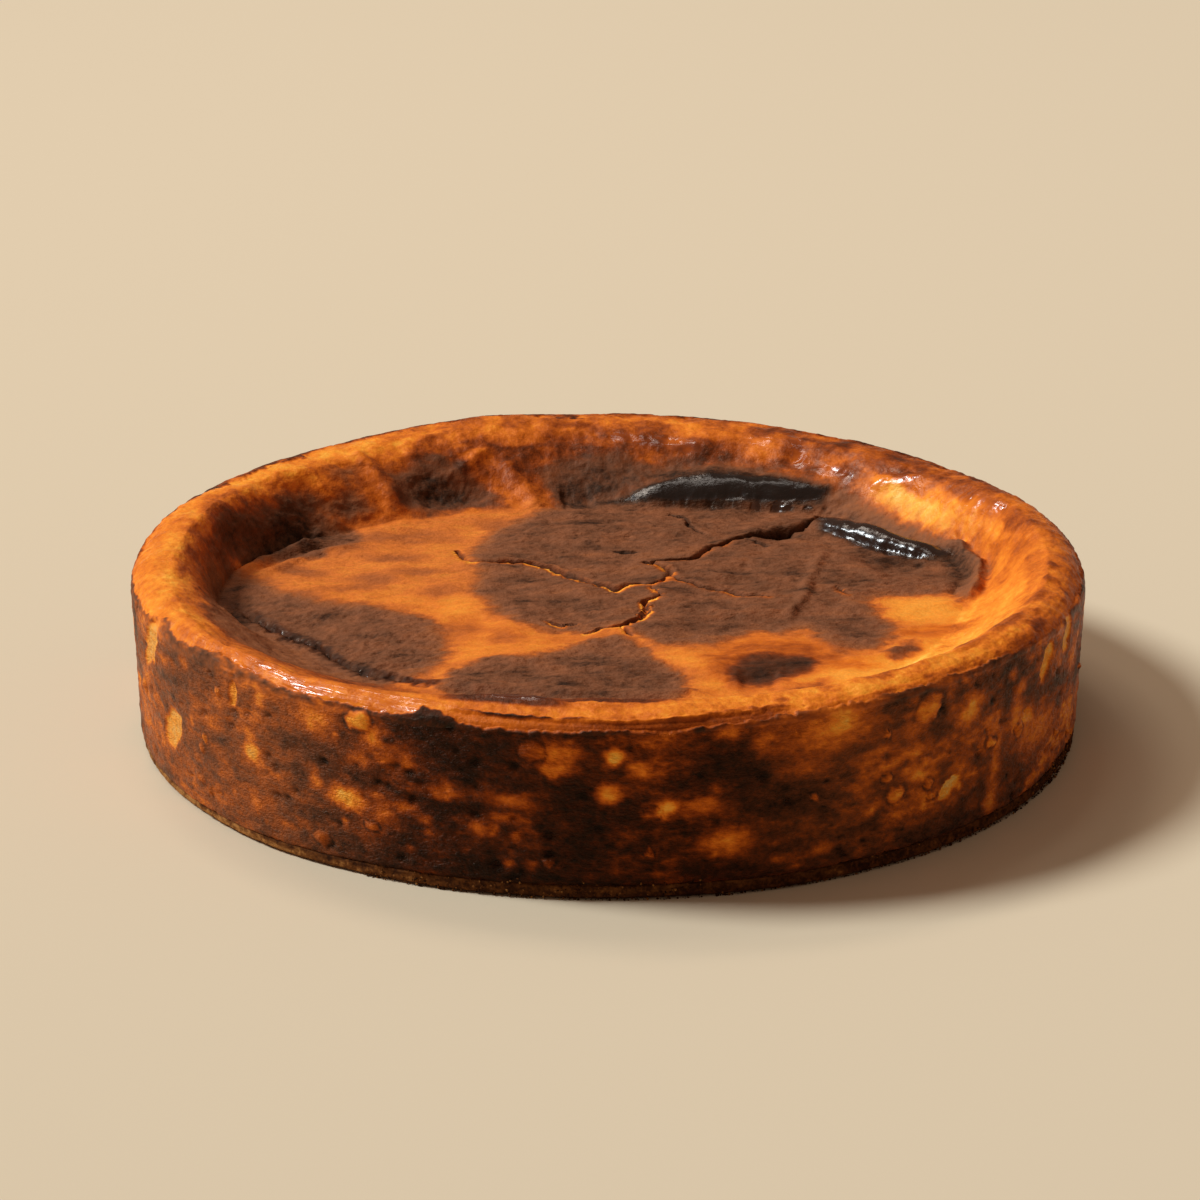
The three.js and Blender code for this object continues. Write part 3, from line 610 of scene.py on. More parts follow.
# burnt plates of the sunken top, some running up the inner slope: outline, browning, softness of the edge, dullness
ux = X + 3.4 * n3(16, 61, 2, on=is_top) + 1.5 * n3(4.2, 62, 3, on=is_top) + 0.7 * n3(1.6, 64, 2, on=is_top)
uy = Y + 3.2 * n3(15, 65, 2, on=is_top) + 1.7 * n3(4.2, 66, 3, on=is_top) + 0.7 * n3(1.6, 67, 2, on=is_top)
PLATES = [
    # the big one, up to the folds at the back and the hook on the right
    ([(-39, 41), (-36, 21), (-37, 7), (-29, -12), (-22, -21), (-15, -26), (-6, -25), (2, -23), (8, -29), (14, -37), (21, -36), (28, -34), (40, -28),
      (47, -27), (53, -23), (57, -34), (62, -38), (70, -36), (77, -29), (80, -22), (74, -12), (72, -1), (83, 5), (94, 8), (97, -1), (102, 5),
      (105, 20), (102, 34), (93, 48), (80, 66), (72, 76), (60, 84), (45, 92), (37, 97), (24, 98), (4, 97), (-9, 96), (-13, 93), (-15, 89), (-14, 83),
      (-19, 77), (-27, 69), (-34, 55)], 0.845, 3.0, 1.0),
    # the left one, up the whole slope there
    ([(-110, 14), (-111, 2), (-110, -20), (-107, -38), (-102, -52), (-95, -62.5), (-89, -63), (-82, -60), (-76, -56.5), (-70, -58.5), (-64, -60.5),
      (-55.6, -57.5), (-48.5, -52.5), (-44.5, -45.5), (-42.6, -35), (-44.4, -25), (-48.6, -14.6), (-55.4, -6.4), (-67, -0.6), (-78.5, 3.2), (-90, 12),
      (-98, 24), (-106, 28)], 0.85, 3.2, 1.0),
    ([(-36.8, -47.3), (-29, -44), (-17.4, -43), (-9.6, -36), (-3.4, -30), (3.8, -30.4), (10, -39.4), (16, -52.6), (21, -60), (22, -68), (16, -76),
      (0, -78), (-20, -76), (-41, -70), (-46, -60), (-41, -53)], 0.87, 2.2, 1.0),
    ([(28.7, -54.4), (33, -42), (38, -39), (45, -41.5), (51, -41), (56, -46.5), (56, -51), (50, -57), (45, -62), (35, -62), (30.8, -59.5)], 0.76, 4.4, 0.05),
    ([(26, -44), (33, -33), (44, -30), (56, -33), (64, -42), (66, -50), (58, -50), (50, -44), (38, -42), (31, -52)], 0.56, 5.0, 0.0),
    ([(32.5, -56.5), (38, -46), (45, -43.6), (53, -44), (56, -48), (50, -55.5), (40, -60.5)], 0.92, 2.6, 0.20),
    ([(-20, 95), (-2, 99.5), (27, 98), (44, 92), (57, 84), (64, 79), (60, 77), (40, 84), (20, 88), (0, 88), (-14, 86), (-19, 88)], 0.90, 2.6, 0.6),
    ([(-16, 89), (-4, 93), (14, 92), (8, 88), (-4, 86), (-14, 85)], 0.93, 4.2, 0.45),
    ([(72, -40), (83, -30), (83, -38), (76, -45)], 0.76, 2.2, 0.5),
    ([(58, -45), (68, -43), (72, -49), (62, -52)], 0.46, 2.6, 0.0),
    ([(42, -66), (54, -62), (60, -58), (58, -66), (46, -71)], 0.66, 2.4, 0.2),
    ([(84, -42), (92, -34), (96, -38), (88, -48)], 0.36, 2.6, 0.0),
    # the left-back plate and, next, the black pocket below the rim wall there: dark skin, darkened further with painted
    # shade of the left rim
    ([(-109.5, 26), (-108, 32), (-102, 47), (-96.5, 55), (-86, 64), (-80, 63), (-71, 63), (-69, 54), (-80, 39), (-94, 36)], 0.90, 2.2, 0.9),
    ([(-110, 18), (-107.5, 30), (-103.2, 42), (-97.6, 52.5), (-90, 60.5), (-83, 67), (-80, 63), (-87.3, 57), (-97, 43.5), (-106.5, 22)], 0.95, 3.2, 0.35),
    ([(-60, 82), (-50, 87.5), (-40, 87), (-31, 84), (-30, 80.5), (-40, 79), (-52, 77)], 0.94, 3.4, 0.30),
    ([(-67, 83), (-56, 89), (-47, 93), (-42, 90), (-36, 88), (-30, 84), (-38, 78), (-51, 75), (-60, 74), (-63, 79)], 0.88, 2.6, 0.5),
    ([(-81, 77), (-70, 83), (-73, 75)], 0.74, 2.2, 0.8),
    ([(-84, 64), (-74, 73), (-66, 72), (-72, 66)], 0.84, 2.4, 0.7),
    ([(79, -26), (88, -20), (100, -21), (96, -27), (86, -30)], 0.52, 2.4, 0.0),
]
grain = plan_noise(7.5, 2.2, 0.12, 68, 3, on=is_top)
smear = plan_noise(24, 6.5, 0.05, 59, 3, on=is_top)
warp = 1.8 * n3(9, 58, 2, on=inland)
crimp = 0.5 - 2 * np.abs(plan_noise(5.2, 2.1, 0.9, 83, 2, warp, inland))       # slanting wrinkles at the left
ripple = 0.5 - 2 * np.abs(plan_noise(6.4, 2.4, 0.30, 97, 3, warp, inland))     # finer ones elsewhere
wrinkle = mix(ripple, crimp, smoothstep(-28, -48, X)) * inland
front = smoothstep(22, -12, Y)
# the wrinkle crests of the top are painted a little lighter: painted light
b_top = 0.345 - 0.04 * front * (1 - 1.5 * n3(5, 34, 3, (1.8, 1, 1), is_top)) + 0.07 * grain + 0.09 * n3(16, 69, 3, on=is_top) + 0.10 * smear - 0.03 * wrinkle
CLOUDS = [(-66, 20, 10, 5), (-78, 46, 10, 6), (-62, 36, 9, 4), (-84, 26, 6, 4), (-50, 58, 10, 5), (-46, 8, 8, 5), (-30, 66, 8, 5), (-40, -22, 6, 7),
          (-28, -30, 6, 5), (-64, 56, 9, 4), (-70, 12, 9, 3), (-88, 30, 5, 4), (-52, 24, 7, 3)]
for px, py, w_, h_ in CLOUDS:
    e = np.hypot((ux - px) / w_, (uy - py) / h_) + 0.6 * grain
    b_top = b_top + 0.16 * smoothstep(1.5, 0.2, e) * is_top
glow = np.maximum(smoothstep(1.3, 0.3, np.hypot((ux - 85) / 15, (uy + 5) / 13)), smoothstep(1.4, 0.3, np.hypot((ux - 68) / 15, (uy + 52) / 10)))
b_top = mix(b_top, 0.18, glow * is_top)
edge_warp = 3.2 * n3(13, 71, 3, on=is_top) + 1.2 * n3(4, 72, 2, on=is_top)
rim_mask = smoothstep(-5.0, 4.0, R - foot_r + edge_warp)
brown = np.where(is_top, mix(b_top, b_rim, rim_mask), b_rim)
matte = (0.85 - 0.45 * front) * (1 - rim_mask) * is_top
plate = np.zeros(len(P))
feather = 1.9 * plan_noise(6.0, 2.6, 0.1, 63, 3, on=is_top) + 1.2 * n3(1.9, 60, 2, on=is_top)
# the wrinkle crests of the plates are painted a little lighter too: painted light
plate_tone_and_shading = 0.09 * grain + 0.13 * n3(9, 70, 4, on=is_top) + 0.13 * smear - 0.06 * wrinkle
# darker places of the plates, partly painted shade (along the soft undulations, at the inner foot of the hook ridge, in
# the gap of the wide crack) and partly darker tone: middle, half sizes, amount
SHADE_AND_DARK_PLACES = [(-5, 66, 15, 4.5, 0.10), (50, 57, 9, 5, 0.13), (82, 30, 12, 5, 0.05), (64, 14, 8, 6, 0.06), (-8, 86, 11, 5, 0.06), (26, 48, 16, 4, 0.04),
         (70, -24, 10, 8, 0.06), (-30, 4, 8, 5, 0.05), (40, 20, 12, 4, 0.05), (-86, 53, 9, 6, 0.08), (-50, 81, 10, 5, 0.09), (-76, -26, 12, 8, 0.03),
         (4, -60, 20, 5, 0.04), (-100, -6, 6, 12, 0.06), (18, 0, 7, 4, 0.08), (8, 10, 6, 4, 0.05), (30, 94, 24, 4, 0.05), (80, 36, 15, 8, 0.04), (98, 27, 5, 15, 0.13), (-4, 92, 14, 5, 0.07), (10, 55, 14, 3, 0.05), (34, 12, 12, 3, 0.06), (-22, 42, 10, 3, 0.05),
         (46, 26, 10, 3, 0.06), (20, -22, 14, 3, 0.05), (-78, -12, 10, 4, 0.05)]
for px, py, w_, h_, amount in SHADE_AND_DARK_PLACES:
    plate_tone_and_shading = plate_tone_and_shading + amount * smoothstep(1.5, 0.2, np.hypot((ux - px) / w_, (uy - py) / h_) + 0.5 * grain)
for number, (outline, value, soft, dull) in enumerate(PLATES):
    d = depth_in(ux, uy, outline) + feather * (1 if number < 3 else 0.6)
    m = smoothstep(-soft, soft, d) * is_top
    halo = smoothstep(-7, 2, d) * is_top * (number < 3)
    brown = mix(brown, np.maximum(brown, 0.54), 0.30 * halo)
    brown = mix(brown, value - 0.10 * smoothstep(7, 0, d) + plate_tone_and_shading, m)
    matte = mix(matte, dull, np.maximum(m, halo * 0.4))
    plate = np.maximum(plate, m * (value > 0.7))

# wet, burnt skin: the two folds, and the crease at the left, whose dark colour is partly painted shade of the left rim
sx, sy = X + 1.1 * n3(5, 74, 3, on=is_top), Y + 1.1 * n3(5, 75, 3, on=is_top)
d_fold1 = depth_in(sx, sy, [(-5, 83.6), (7, 86.6), (14, 89.2), (24, 91.0), (34, 90.6), (45, 88.8), (56, 85.4), (65, 80.6), (61.5, 76.4), (50, 77.6), (38, 78.8),
                            (27, 80.2), (12, 82.2), (0, 83.0)])
d_fold2 = depth_in(sx, sy, [(58, 68.5), (63, 67), (69, 63), (77, 55), (85, 47.5), (93.5, 39.5), (98, 35), (93, 33.2), (86, 34), (78, 38),
                            (69.5, 47), (61, 58)])
fold1, fold2 = smoothstep(-1.4, 2.4, d_fold1) * is_top, smoothstep(-1.6, 2.0, d_fold2) * is_top
foot1 = smoothstep(3.0, 0.8, to_path(X, Y, [(24, 81.5), (36, 80.5), (49, 78), (61, 76.5)])[0]) * is_top
foot1 = foot1 * smoothstep(-0.02, 0.22, n3(3.4, 27, 1, on=is_top)) * (0.55 + 0.45 * smoothstep(18, 52, X))
d_crease, t_crease, hand_crease, at_crease = to_path(X, Y, CREASES[0][0])
upper_left = smoothstep(2, 10, d_crease) * (R > np.hypot(at_crease[:, 0], at_crease[:, 1])) * arc_of(188, 246, 6) * plate
brown = mix(brown, 0.70 + 0.12 * scratch + 0.08 * flow, 0.75 * upper_left)
nodules = n3(2.3, 77, 2, on=is_top)
beaded = smoothstep(-0.20, 0.25, n3(7, 80, 2, on=is_top) + 0.35 * smoothstep(0.1, 0.5, t_crease) - 0.15)
crease = smoothstep(3.8, 1.2, d_crease + 2.4 * nodules) * (0.35 + 0.65 * beaded) * is_top
wet = np.clip(np.maximum(np.maximum(fold1, fold2), np.maximum(crease, 0.8 * foot1)), 0, 1)
brown = mix(brown, 1.0, np.maximum(fold1, 0.6 * foot1))
brown = mix(brown, 0.95, fold2)
# the crease painted dark: wet skin, partly painted shade
brown = mix(brown, 0.88, 0.8 * crease)
matte = matte * (1 - wet)
lip_wet = smoothstep(-0.02, 0.16, shoulder) * (1 - skin) * outside
wet_marks = smoothstep(-0.16, 0.10, rim_noise(17.0, 1.9, 26, 3, near_rim))
front_wet = np.maximum(arc_of(210, 252, 6) * lip_wet * (0.55 + 0.45 * wet_marks),
                       arc_of(255.0, 263, 1.5) * smoothstep(1.9, 1.0, np.abs(R - 119.4 + 0.8 * flow)) * is_top)
dark_front = arc_of(249.5, 264.5, 2.5) * smoothstep(114.6, 116.8, R + 1.2 * flow) * smoothstep(123.8, 121.6, R + 1.2 * flow) * is_top
dark_front = np.maximum(dark_front, arc_of(262, 278, 4) * smoothstep(114.0, 115.6, R + 2.6 * flow) * smoothstep(119.9, 118.5, R + 2.6 * flow) * is_top)
brown = mix(brown, 0.80 + 0.22 * flow, 0.92 * dark_front)
matte = matte * (1 - dark_front)

# dark side skin, its peeled band, cracks
brown = mix(brown, b_side, skin)
brown = mix(brown, 0.43 + 0.08 * n3(5, 73, 2, (2, 2, 0.7), outside) + 0.18 * arc_of(264, 296, 8), peel)
brown = mix(brown, 0.82 + 0.2 * flow, np.clip(1.1 * peel_line, 0, 1) * (0.45 + 0.55 * arc_of(250, 268, 5)) * smoothstep(-0.30, 0.10, flow))
# the inside of the cracks painted near-black: painted shade
brown = mix(brown, 0.95, crack * 0.95)
# the near lips of the cracks painted pale gold: partly the pale inside, partly painted light
brown = mix(brown, 0.16 + 0.10 * n3(2.0, 38, 2, on=inland), np.clip(1.7 * pale_and_lit_lip, 0, 1))
matte = matte * (1 - np.maximum(crack, np.clip(1.7 * pale_and_lit_lip, 0, 1)))
matte = mix(matte, 0.60 * arc_of(186, 238, 12) + 0.36 * arc_of(290, 345, 12), skin)

gloss = 0.50 + 0.24 * n3(7, 76, 2, on=is_top) + 0.2 * flow
glints = np.zeros(len(P))
for path, half in (([(3, 107.5), (14, 105.5), (27, 102)], 3.6), ([(54, 104), (55, 98), (56, 92)], 3.0), ([(61, 88), (69, 82)], 3.2),
                   ([(74, 76), (81, 75), (92, 69.5)], 2.4), ([(101, 51), (106, 45), (111, 37)], 2.6), ([(40, 104), (46, 102)], 2.4)):
    glints = np.maximum(glints, smoothstep(half, 0.4 * half, to_path(X, Y, path)[0] + 1.6 * patch))
glints = glints * (1 - skin) * is_top
gloss = np.minimum(gloss, 0.68)
gloss = np.maximum(gloss, glints * (0.92 + 0.4 * n3(4, 78, 2, on=near_rim)))
gloss = mix(mix(gloss, 0.12, np.maximum(matte, 0.9 * plate)), 0.05, np.clip(crack + pale_and_lit_lip, 0, 1))
gloss = mix(gloss, (0.48 + 0.3 * streak + 0.3 * fleck + 0.3 * hair) * (1 - 0.8 * char), skin)
gloss = np.maximum(gloss, np.maximum(np.maximum(0.92 * fold1, 0.92 * fold2), np.maximum(0.95 * crease * smoothstep(0.12, 0.26, nodules), foot1)))
gloss = np.maximum(gloss, np.clip(front_wet, 0, 1) * (0.93 + 0.12 * flow))
gloss = mix(gloss, 0.5, peel)
brown, matte, gloss = np.clip(brown, 0, 1), np.clip(matte, 0, 1), np.clip(gloss, 0, 1)

# ---------------------------------------------------------------- fine form
rim_like = np.where(is_top, rim_mask, 0) * (1 - skin)
calm = 1 - 0.85 * np.clip(np.maximum(front_wet, peel), 0, 1)
move = rim_like * (0.9 * n3(22, 79, 2, on=near_rim) + calm * (0.70 * n3(11, 81, 3, on=near_rim) + 0.50 * n3(4.0, 82, 3, on=near_rim)
                   + 0.08 * scratch + 0.14 * n3(1.7, 98, 2, on=near_rim)) + 0.24 * flow)
move += rim_like * backside * (0.55 * n3(6.5, 90, 3, on=near_rim)) * smoothstep(0.25, 0.6, u_slope)
move += np.clip(front_wet, 0, 1) * (0.60 * rim_noise(14.0, 3.0, 99, 3, near_rim) + 0.12 * n3(2.6, 37, 2, on=near_rim)) * (1 - skin)
top_like = (1 - rim_mask) * is_top
move += top_like * (1.5 * n3(28, 84, 2, on=inland) + 1.30 * n3(10, 85, 3, (1.7, 1, 1), inland) + 0.12 * wrinkle + 0.07 * n3(1.8, 36, 2, on=inland))
move *= 1 - 0.93 * np.maximum(fold1, fold2)
dry_plate = plate * (1 - np.maximum(np.maximum(fold1, fold2), foot1))
move += dry_plate * (0.27 * wrinkle + 0.72 * n3(4.6, 86, 3, (1.7, 1, 1), is_top) + 0.20 * n3(1.8, 36, 2, on=inland) + 0.07 * n3(1.2, 28, 2, (1.6, 1, 1), inland))
move += crease * (1.1 * nodules + 0.2) + foot1 * 0.7 * nodules
move += fold1 * (0.5 * n3(10.0, 87, 2, on=is_top) + 0.07 * nodules) + fold2 * (0.9 * n3(9.0, 35, 2, on=is_top) + 0.10 * nodules)
move += skin * (0.34 * n3(9, 88, 3, (1.3, 1.3, 0.8), outside) + 0.34 * n3(2.6, 89, 3, (2.0, 2.0, 0.6), outside) + 0.14 * hair + 0.25 * n3(4.0, 49, 3, (1.6, 1.6, 0.85), outside) + 0.32)
move += char * 0.12
move += 1.15 * arc_of(251.5, 263, 3.5) * np.exp(-((R - 119.3 + 0.8 * flow) / 2.1) ** 2) * is_top
move -= recess * 0.6 * skin
move += blister * 0.8 * skin
move -= peel * 0.75
move += np.clip(peel_line, 0, 1) * 0.35
pits = np.zeros(len(P))
for k in range(260):
    pd, pz, pr = RNG.uniform(0, 360), RNG.uniform(5, 46), RNG.uniform(0.5, 1.2)
    dx = ((DEG - pd + 180) % 360 - 180) * np.pi / 180 * 129
    near = (np.abs(dx) < 4) & (np.abs(Z - pz) < 4) & outside
    pits[near] = np.maximum(pits[near], np.exp(-(np.hypot(dx[near] / 1.3, Z[near] - pz) / pr) ** 2) * min(1, pr))
move -= pits * 0.8 * skin
# darker inside the pits of the darker skin: painted shade
brown = np.clip(brown + 0.22 * pits * skin * (brown > 0.45), 0, 1)
gloss = np.clip(gloss + 0.4 * pits * skin, 0, 1)
move = np.where(k_ring > RINGS, move * smoothstep(0.0, 1.8, Z - at(T_FOOT, DEG)), move)
P = P + N * move[:, None]
N = normals_of(P, faces)


# ---------------------------------------------------------------- objects
def build(name, verts, tri, attrs, normal=None, uv=None):
    me = bpy.data.meshes.new(name)
    me.vertices.add(len(verts))
    me.vertices.foreach_set("co", (verts * MM).astype(np.float32).ravel())
    me.loops.add(3 * len(tri))
    me.loops.foreach_set("vertex_index", tri.astype(np.int32).ravel())
    me.polygons.add(len(tri))
    me.polygons.foreach_set("loop_start", (3 * np.arange(len(tri))).astype(np.int32))
    me.polygons.foreach_set("loop_total", np.full(len(tri), 3, np.int32))
    me.polygons.foreach_set("use_smooth", np.ones(len(tri), bool))
    for key, value in attrs.items():
        a = me.attributes.new(key, "FLOAT", "POINT")
        a.data.foreach_set("value", value.astype(np.float32))
    if uv is not None:
        layer = me.uv_layers.new(name="OFBake")
        layer.data.foreach_set("uv", uv.astype(np.float32).ravel())
    me.update(calc_edges=True)
    me.validate()
    if normal is not None:
        me.normals_split_custom_set_from_vertices(normal.astype(np.float32).tolist())
    ob = bpy.data.objects.new(name, me)
    bpy.context.scene.collection.objects.link(ob)
    return ob


def part_of(name, tri, uv):
    """One piece of the skin: the given triangles with their own points and the whole skin's normals."""
    used = np.unique(tri)
    new = np.full(len(P), -1)
    new[used] = np.arange(len(used))
    return build(name, P[used], new[tri], {"brown": brown[used], "matte": matte[used], "gloss": gloss[used]}, N[used], uv)


def flat_uv(tri, rings):
    """Seen from above."""
    k = ring[tri.ravel()] / rings
    a = rad_t[tri.ravel()]
    return np.stack([0.5 + 0.495 * k * np.cos(a), 0.5 + 0.495 * k * np.sin(a)], 1)


def strip_uv(where, low, high):
    """Six strips of a sixth of a turn each, from one ring to another."""
    u = 0.01 + 0.98 * where[:, 2:5]
    v = (where[:, 1:2] + 0.04 + 0.92 * (where[:, 5:8] - low) / (high - low)) / 6
    return np.stack([u, v], 2).reshape(-1, 2)


is_wet = gloss[faces_top].mean(1) > 0.74
in_middle = face_at[:, 0] <= RINGS_TOP
in_slope = (face_at[:, 0] > RINGS_TOP) & (face_at[:, 0] <= RINGS_SLOPE)
in_lip = face_at[:, 0] > RINGS_SLOPE
dry = [k & ~is_wet for k in (in_middle, in_slope, in_lip)]
top = part_of("cake_top", faces_top[dry[0]], flat_uv(faces_top[dry[0]], RINGS_TOP))
slope = part_of("cake_slope", faces_top[dry[1]], strip_uv(face_at[dry[1]], RINGS_TOP, RINGS_SLOPE))
lip = part_of("cake_lip", faces_top[dry[2]], strip_uv(face_at[dry[2]], RINGS_SLOPE, RINGS))
wet_top = part_of("cake_wet", faces_top[is_wet], flat_uv(faces_top[is_wet], RINGS))

# four strips of a quarter turn each, and the underside in the last corner
strip, strip_h = COLS // 4, 0.235
uv_side = np.zeros((len(faces_side), 3, 2))
count = 0
for j in range(SIDE_ROWS):
    for half in range(2):
        c = np.arange(COLS)
        q = c // strip
        left = (c - q * strip) / strip
        right = left + 1 / strip
        v0 = 0.99 - q * (strip_h + 0.004) - (j / SIDE_ROWS) * strip_h
        v1 = 0.99 - q * (strip_h + 0.004) - ((j + 1) / SIDE_ROWS) * strip_h
        block = slice(count, count + COLS)
        if half == 0:
            uv_side[block] = np.stack([np.stack([left, v0], 1), np.stack([left, v1], 1), np.stack([right, v1], 1)], 1)
        else:
            uv_side[block] = np.stack([np.stack([left, v0], 1), np.stack([right, v1], 1), np.stack([right, v0], 1)], 1)
        count += COLS
a0 = 2 * np.pi * np.arange(COLS) / COLS
a1 = a0 + 2 * np.pi / COLS
rim0 = np.stack([0.5 + 0.016 * np.cos(a0), 0.018 + 0.016 * np.sin(a0)], 1)
rim1 = np.stack([0.5 + 0.016 * np.cos(a1), 0.018 + 0.016 * np.sin(a1)], 1)
uv_side[count:] = np.stack([rim0, np.tile([0.5, 0.018], (COLS, 1)), rim1], 1)
side = part_of("cake_side", faces_side, uv_side.reshape(-1, 2))

# crumb base: a pressed, ragged edge with loose grains on it, flush with the side above
BC, BR = 1080, 20
bd = 360.0 * np.arange(BC) / BC
BASE_TOP = 5.1
rows = []
for j in range(BR + 1):
    t = j / BR
    zz = BASE_TOP * (1 - t) + 0 * bd
    pinch = 1.7 * np.clip((t - 0.76) / 0.24, 0, 1) ** 1.6 + 0.8 * np.clip((0.25 - t) / 0.25, 0, 1)
    rr = side_radius(bd, zz) + 0.12 - pinch - 1.1 * smoothstep(-0.2, 0.6, zz - at(T_FOOT, bd))
    rows.append(np.stack([rr * np.cos(np.radians(bd)), rr * np.sin(np.radians(bd)), zz], 1))
BP = np.concatenate(rows)
out = np.stack([np.cos(np.radians(np.tile(bd, BR + 1))), np.sin(np.radians(np.tile(bd, BR + 1))), 0 * np.tile(bd, BR + 1)], 1)
lump = 0.36 * fbm(BP / 3.4, 3, 91) + 0.25 * np.abs(fbm(BP / 1.2, 2, 92)) - 0.10
BP = BP + out * lump[:, None]
BP = np.concatenate([BP, [[0, 0, BASE_TOP], [0, 0, 0]]])
bg = np.arange((BR + 1) * BC).reshape(BR + 1, BC)
bn = np.roll(bg, -1, axis=1)
bf = [np.stack([bg[j], bg[j + 1], bn[j + 1]], 1) for j in range(BR)] + [np.stack([bg[j], bn[j + 1], bn[j]], 1) for j in range(BR)]
bf += [np.stack([bg[0], bn[0], np.full(BC, len(BP) - 2)], 1), np.stack([bn[-1], bg[-1], np.full(BC, len(BP) - 1)], 1)]
bf = np.concatenate(bf)
BASE_TONE = table([(0, 0.5), (90, 0.5), (180, 0.74), (215, 0.94), (240, 0.70), (262, 0.40), (285, 0.40), (315, 0.48)])
low = smoothstep(3.8, 1.8, BP[:-2, 2] + 1.2 * fbm(BP[:-2] / 4.0, 2, 95))
tone = np.r_[mix(0.45, at(BASE_TONE, np.tile(bd, BR + 1)), low) + 0.25 * fbm(BP[:-2] / 5.0, 2, 94) + 0.4 * fbm(BP[:-2] / 1.6, 2, 93), 0.4, 0.4]

gold = (1 + 5 ** 0.5) / 2
ICO = np.array([(-1, gold, 0), (1, gold, 0), (-1, -gold, 0), (1, -gold, 0), (0, -1, gold), (0, 1, gold), (0, -1, -gold), (0, 1, -gold),
                (gold, 0, -1), (gold, 0, 1), (-gold, 0, -1), (-gold, 0, 1)]) / (1 + gold ** 2) ** 0.5
ICO_F = np.array([(0, 11, 5), (0, 5, 1), (0, 1, 7), (0, 7, 10), (0, 10, 11), (1, 5, 9), (5, 11, 4), (11, 10, 2), (10, 7, 6), (7, 1, 8),
                  (3, 9, 4), (3, 4, 2), (3, 2, 6), (3, 6, 8), (3, 8, 9), (4, 9, 5), (2, 4, 11), (6, 2, 10), (8, 6, 7), (9, 8, 1)])


def grains(n, place, low, high):
    v, f, tones = [], [], []
    for k in range(n):
        size = low + (high - low) * RNG.random() ** 2.2
        shape = ICO * size * RNG.uniform(0.6, 1.15, (12, 1)) * RNG.uniform(0.7, 1.2, (1, 3))
        shape = shape + place(size)
        shape[:, 2] = np.maximum(shape[:, 2], 0.05)
        v.append(shape)
        f.append(ICO_F + 12 * k)
        tones.append(np.full(12, 0.15 + 0.75 * RNG.random() ** 1.8))
    return np.concatenate(v), np.concatenate(f), np.concatenate(tones)


def on_edge(size):
    a = RNG.uniform(0, 2 * np.pi)
    if 2.7 < a < 4.2:
        a = a + math.pi
    h = max(size * 0.9, 5.5 * RNG.random() ** 1.4)
    r = TIN_R_BOTTOM + 0.05 + 0.045 * h + RNG.uniform(-0.35, 0.12)
    return np.array([r * math.cos(a), r * math.sin(a), h])


def at_foot(size):
    a = RNG.uniform(-2.1, 2.6)
    r = TIN_R_BOTTOM + RNG.uniform(-0.9, 0.1)
    return np.array([r * math.cos(a), r * math.sin(a), size * 0.85])


g1 = grains(3400, on_edge, 0.16, 0.46)
g2 = grains(160, at_foot, 0.16, 0.42)
bv, bt, tt = [BP], [bf], [tone]
for v, f, t in (g1, g2):
    bt.append(f + sum(len(q) for q in bv))
    bv.append(v)
    tt.append(t)
base = build("crumb_layer", np.concatenate(bv), np.concatenate(bt), {"tone": np.clip(np.concatenate(tt), 0, 1)})


# ---------------------------------------------------------------- materials
def linear(r, g, b):
    c = np.array([r, g, b]) / 255
    return tuple(np.where(c <= 0.04045, c / 12.92, ((c + 0.055) / 1.055) ** 2.4)) + (1.0,)


CUSTARD = [(0.00, 255, 216, 124), (0.10, 253, 183, 70), (0.20, 247, 154, 46), (0.30, 235, 128, 32), (0.40, 212, 105, 24), (0.50, 180, 84, 18),
           (0.60, 144, 61, 12), (0.70, 107, 44, 10), (0.80, 74, 30, 9), (0.90, 46, 20, 8), (1.00, 22, 11, 6)]
COCOA = [(0.20, 232, 140, 50), (0.36, 206, 110, 44), (0.50, 168, 90, 42), (0.65, 150, 86, 47), (0.80, 130, 77, 48), (0.88, 111, 66, 41), (0.95, 74, 42, 25),
         (1.00, 46, 25, 13)]


def nodes_of(name):
    m = bpy.data.materials.new(name)
    m.use_nodes = True
    t = m.node_tree
    for n in list(t.nodes):
        t.nodes.remove(n)
    out = t.nodes.new("ShaderNodeOutputMaterial")
    shader = t.nodes.new("ShaderNodeBsdfPrincipled")
    t.links.new(shader.outputs[0], out.inputs["Surface"])
    return m, t, shader


def attribute(t, name):
    n = t.nodes.new("ShaderNodeAttribute")
    n.attribute_name = name
    return n.outputs["Fac"]


def value_of(t, op, a, b=None, c=None, clamp=False):
    n = t.nodes.new("ShaderNodeMath")
    n.operation = op
    n.use_clamp = clamp
    for i, v in enumerate((a, b, c)):
        if v is None:
            continue
        if isinstance(v, (int, float)):
            n.inputs[i].default_value = v
        else:
            t.links.new(v, n.inputs[i])
    return n.outputs[0]


def grain_of(t, size_mm, stretch=(1, 1, 1), detail=3.0, rough=0.55):
    tc = t.nodes.new("ShaderNodeTexCoord")
    mp = t.nodes.new("ShaderNodeMapping")
    mp.inputs["Scale"].default_value = [1000.0 / (size_mm * s) for s in stretch]
    t.links.new(tc.outputs["Object"], mp.inputs["Vector"])
    n = t.nodes.new("ShaderNodeTexNoise")
    n.inputs["Scale"].default_value = 1.0
    n.inputs["Detail"].default_value = detail
    n.inputs["Roughness"].default_value = rough
    t.links.new(mp.outputs[0], n.inputs["Vector"])
    return n.outputs["Fac"]


def ramp_of(t, fac, stops):
    n = t.nodes.new("ShaderNodeValToRGB")
    e = n.color_ramp.elements
    while len(e) > 1:
        e.remove(e[-1])
    e[0].position, e[0].color = stops[0][0], linear(*stops[0][1:])
    for s in stops[1:]:
        k = e.new(s[0])
        k.color = linear(*s[1:])
    t.links.new(fac, n.inputs[0])
    return n.outputs[0]


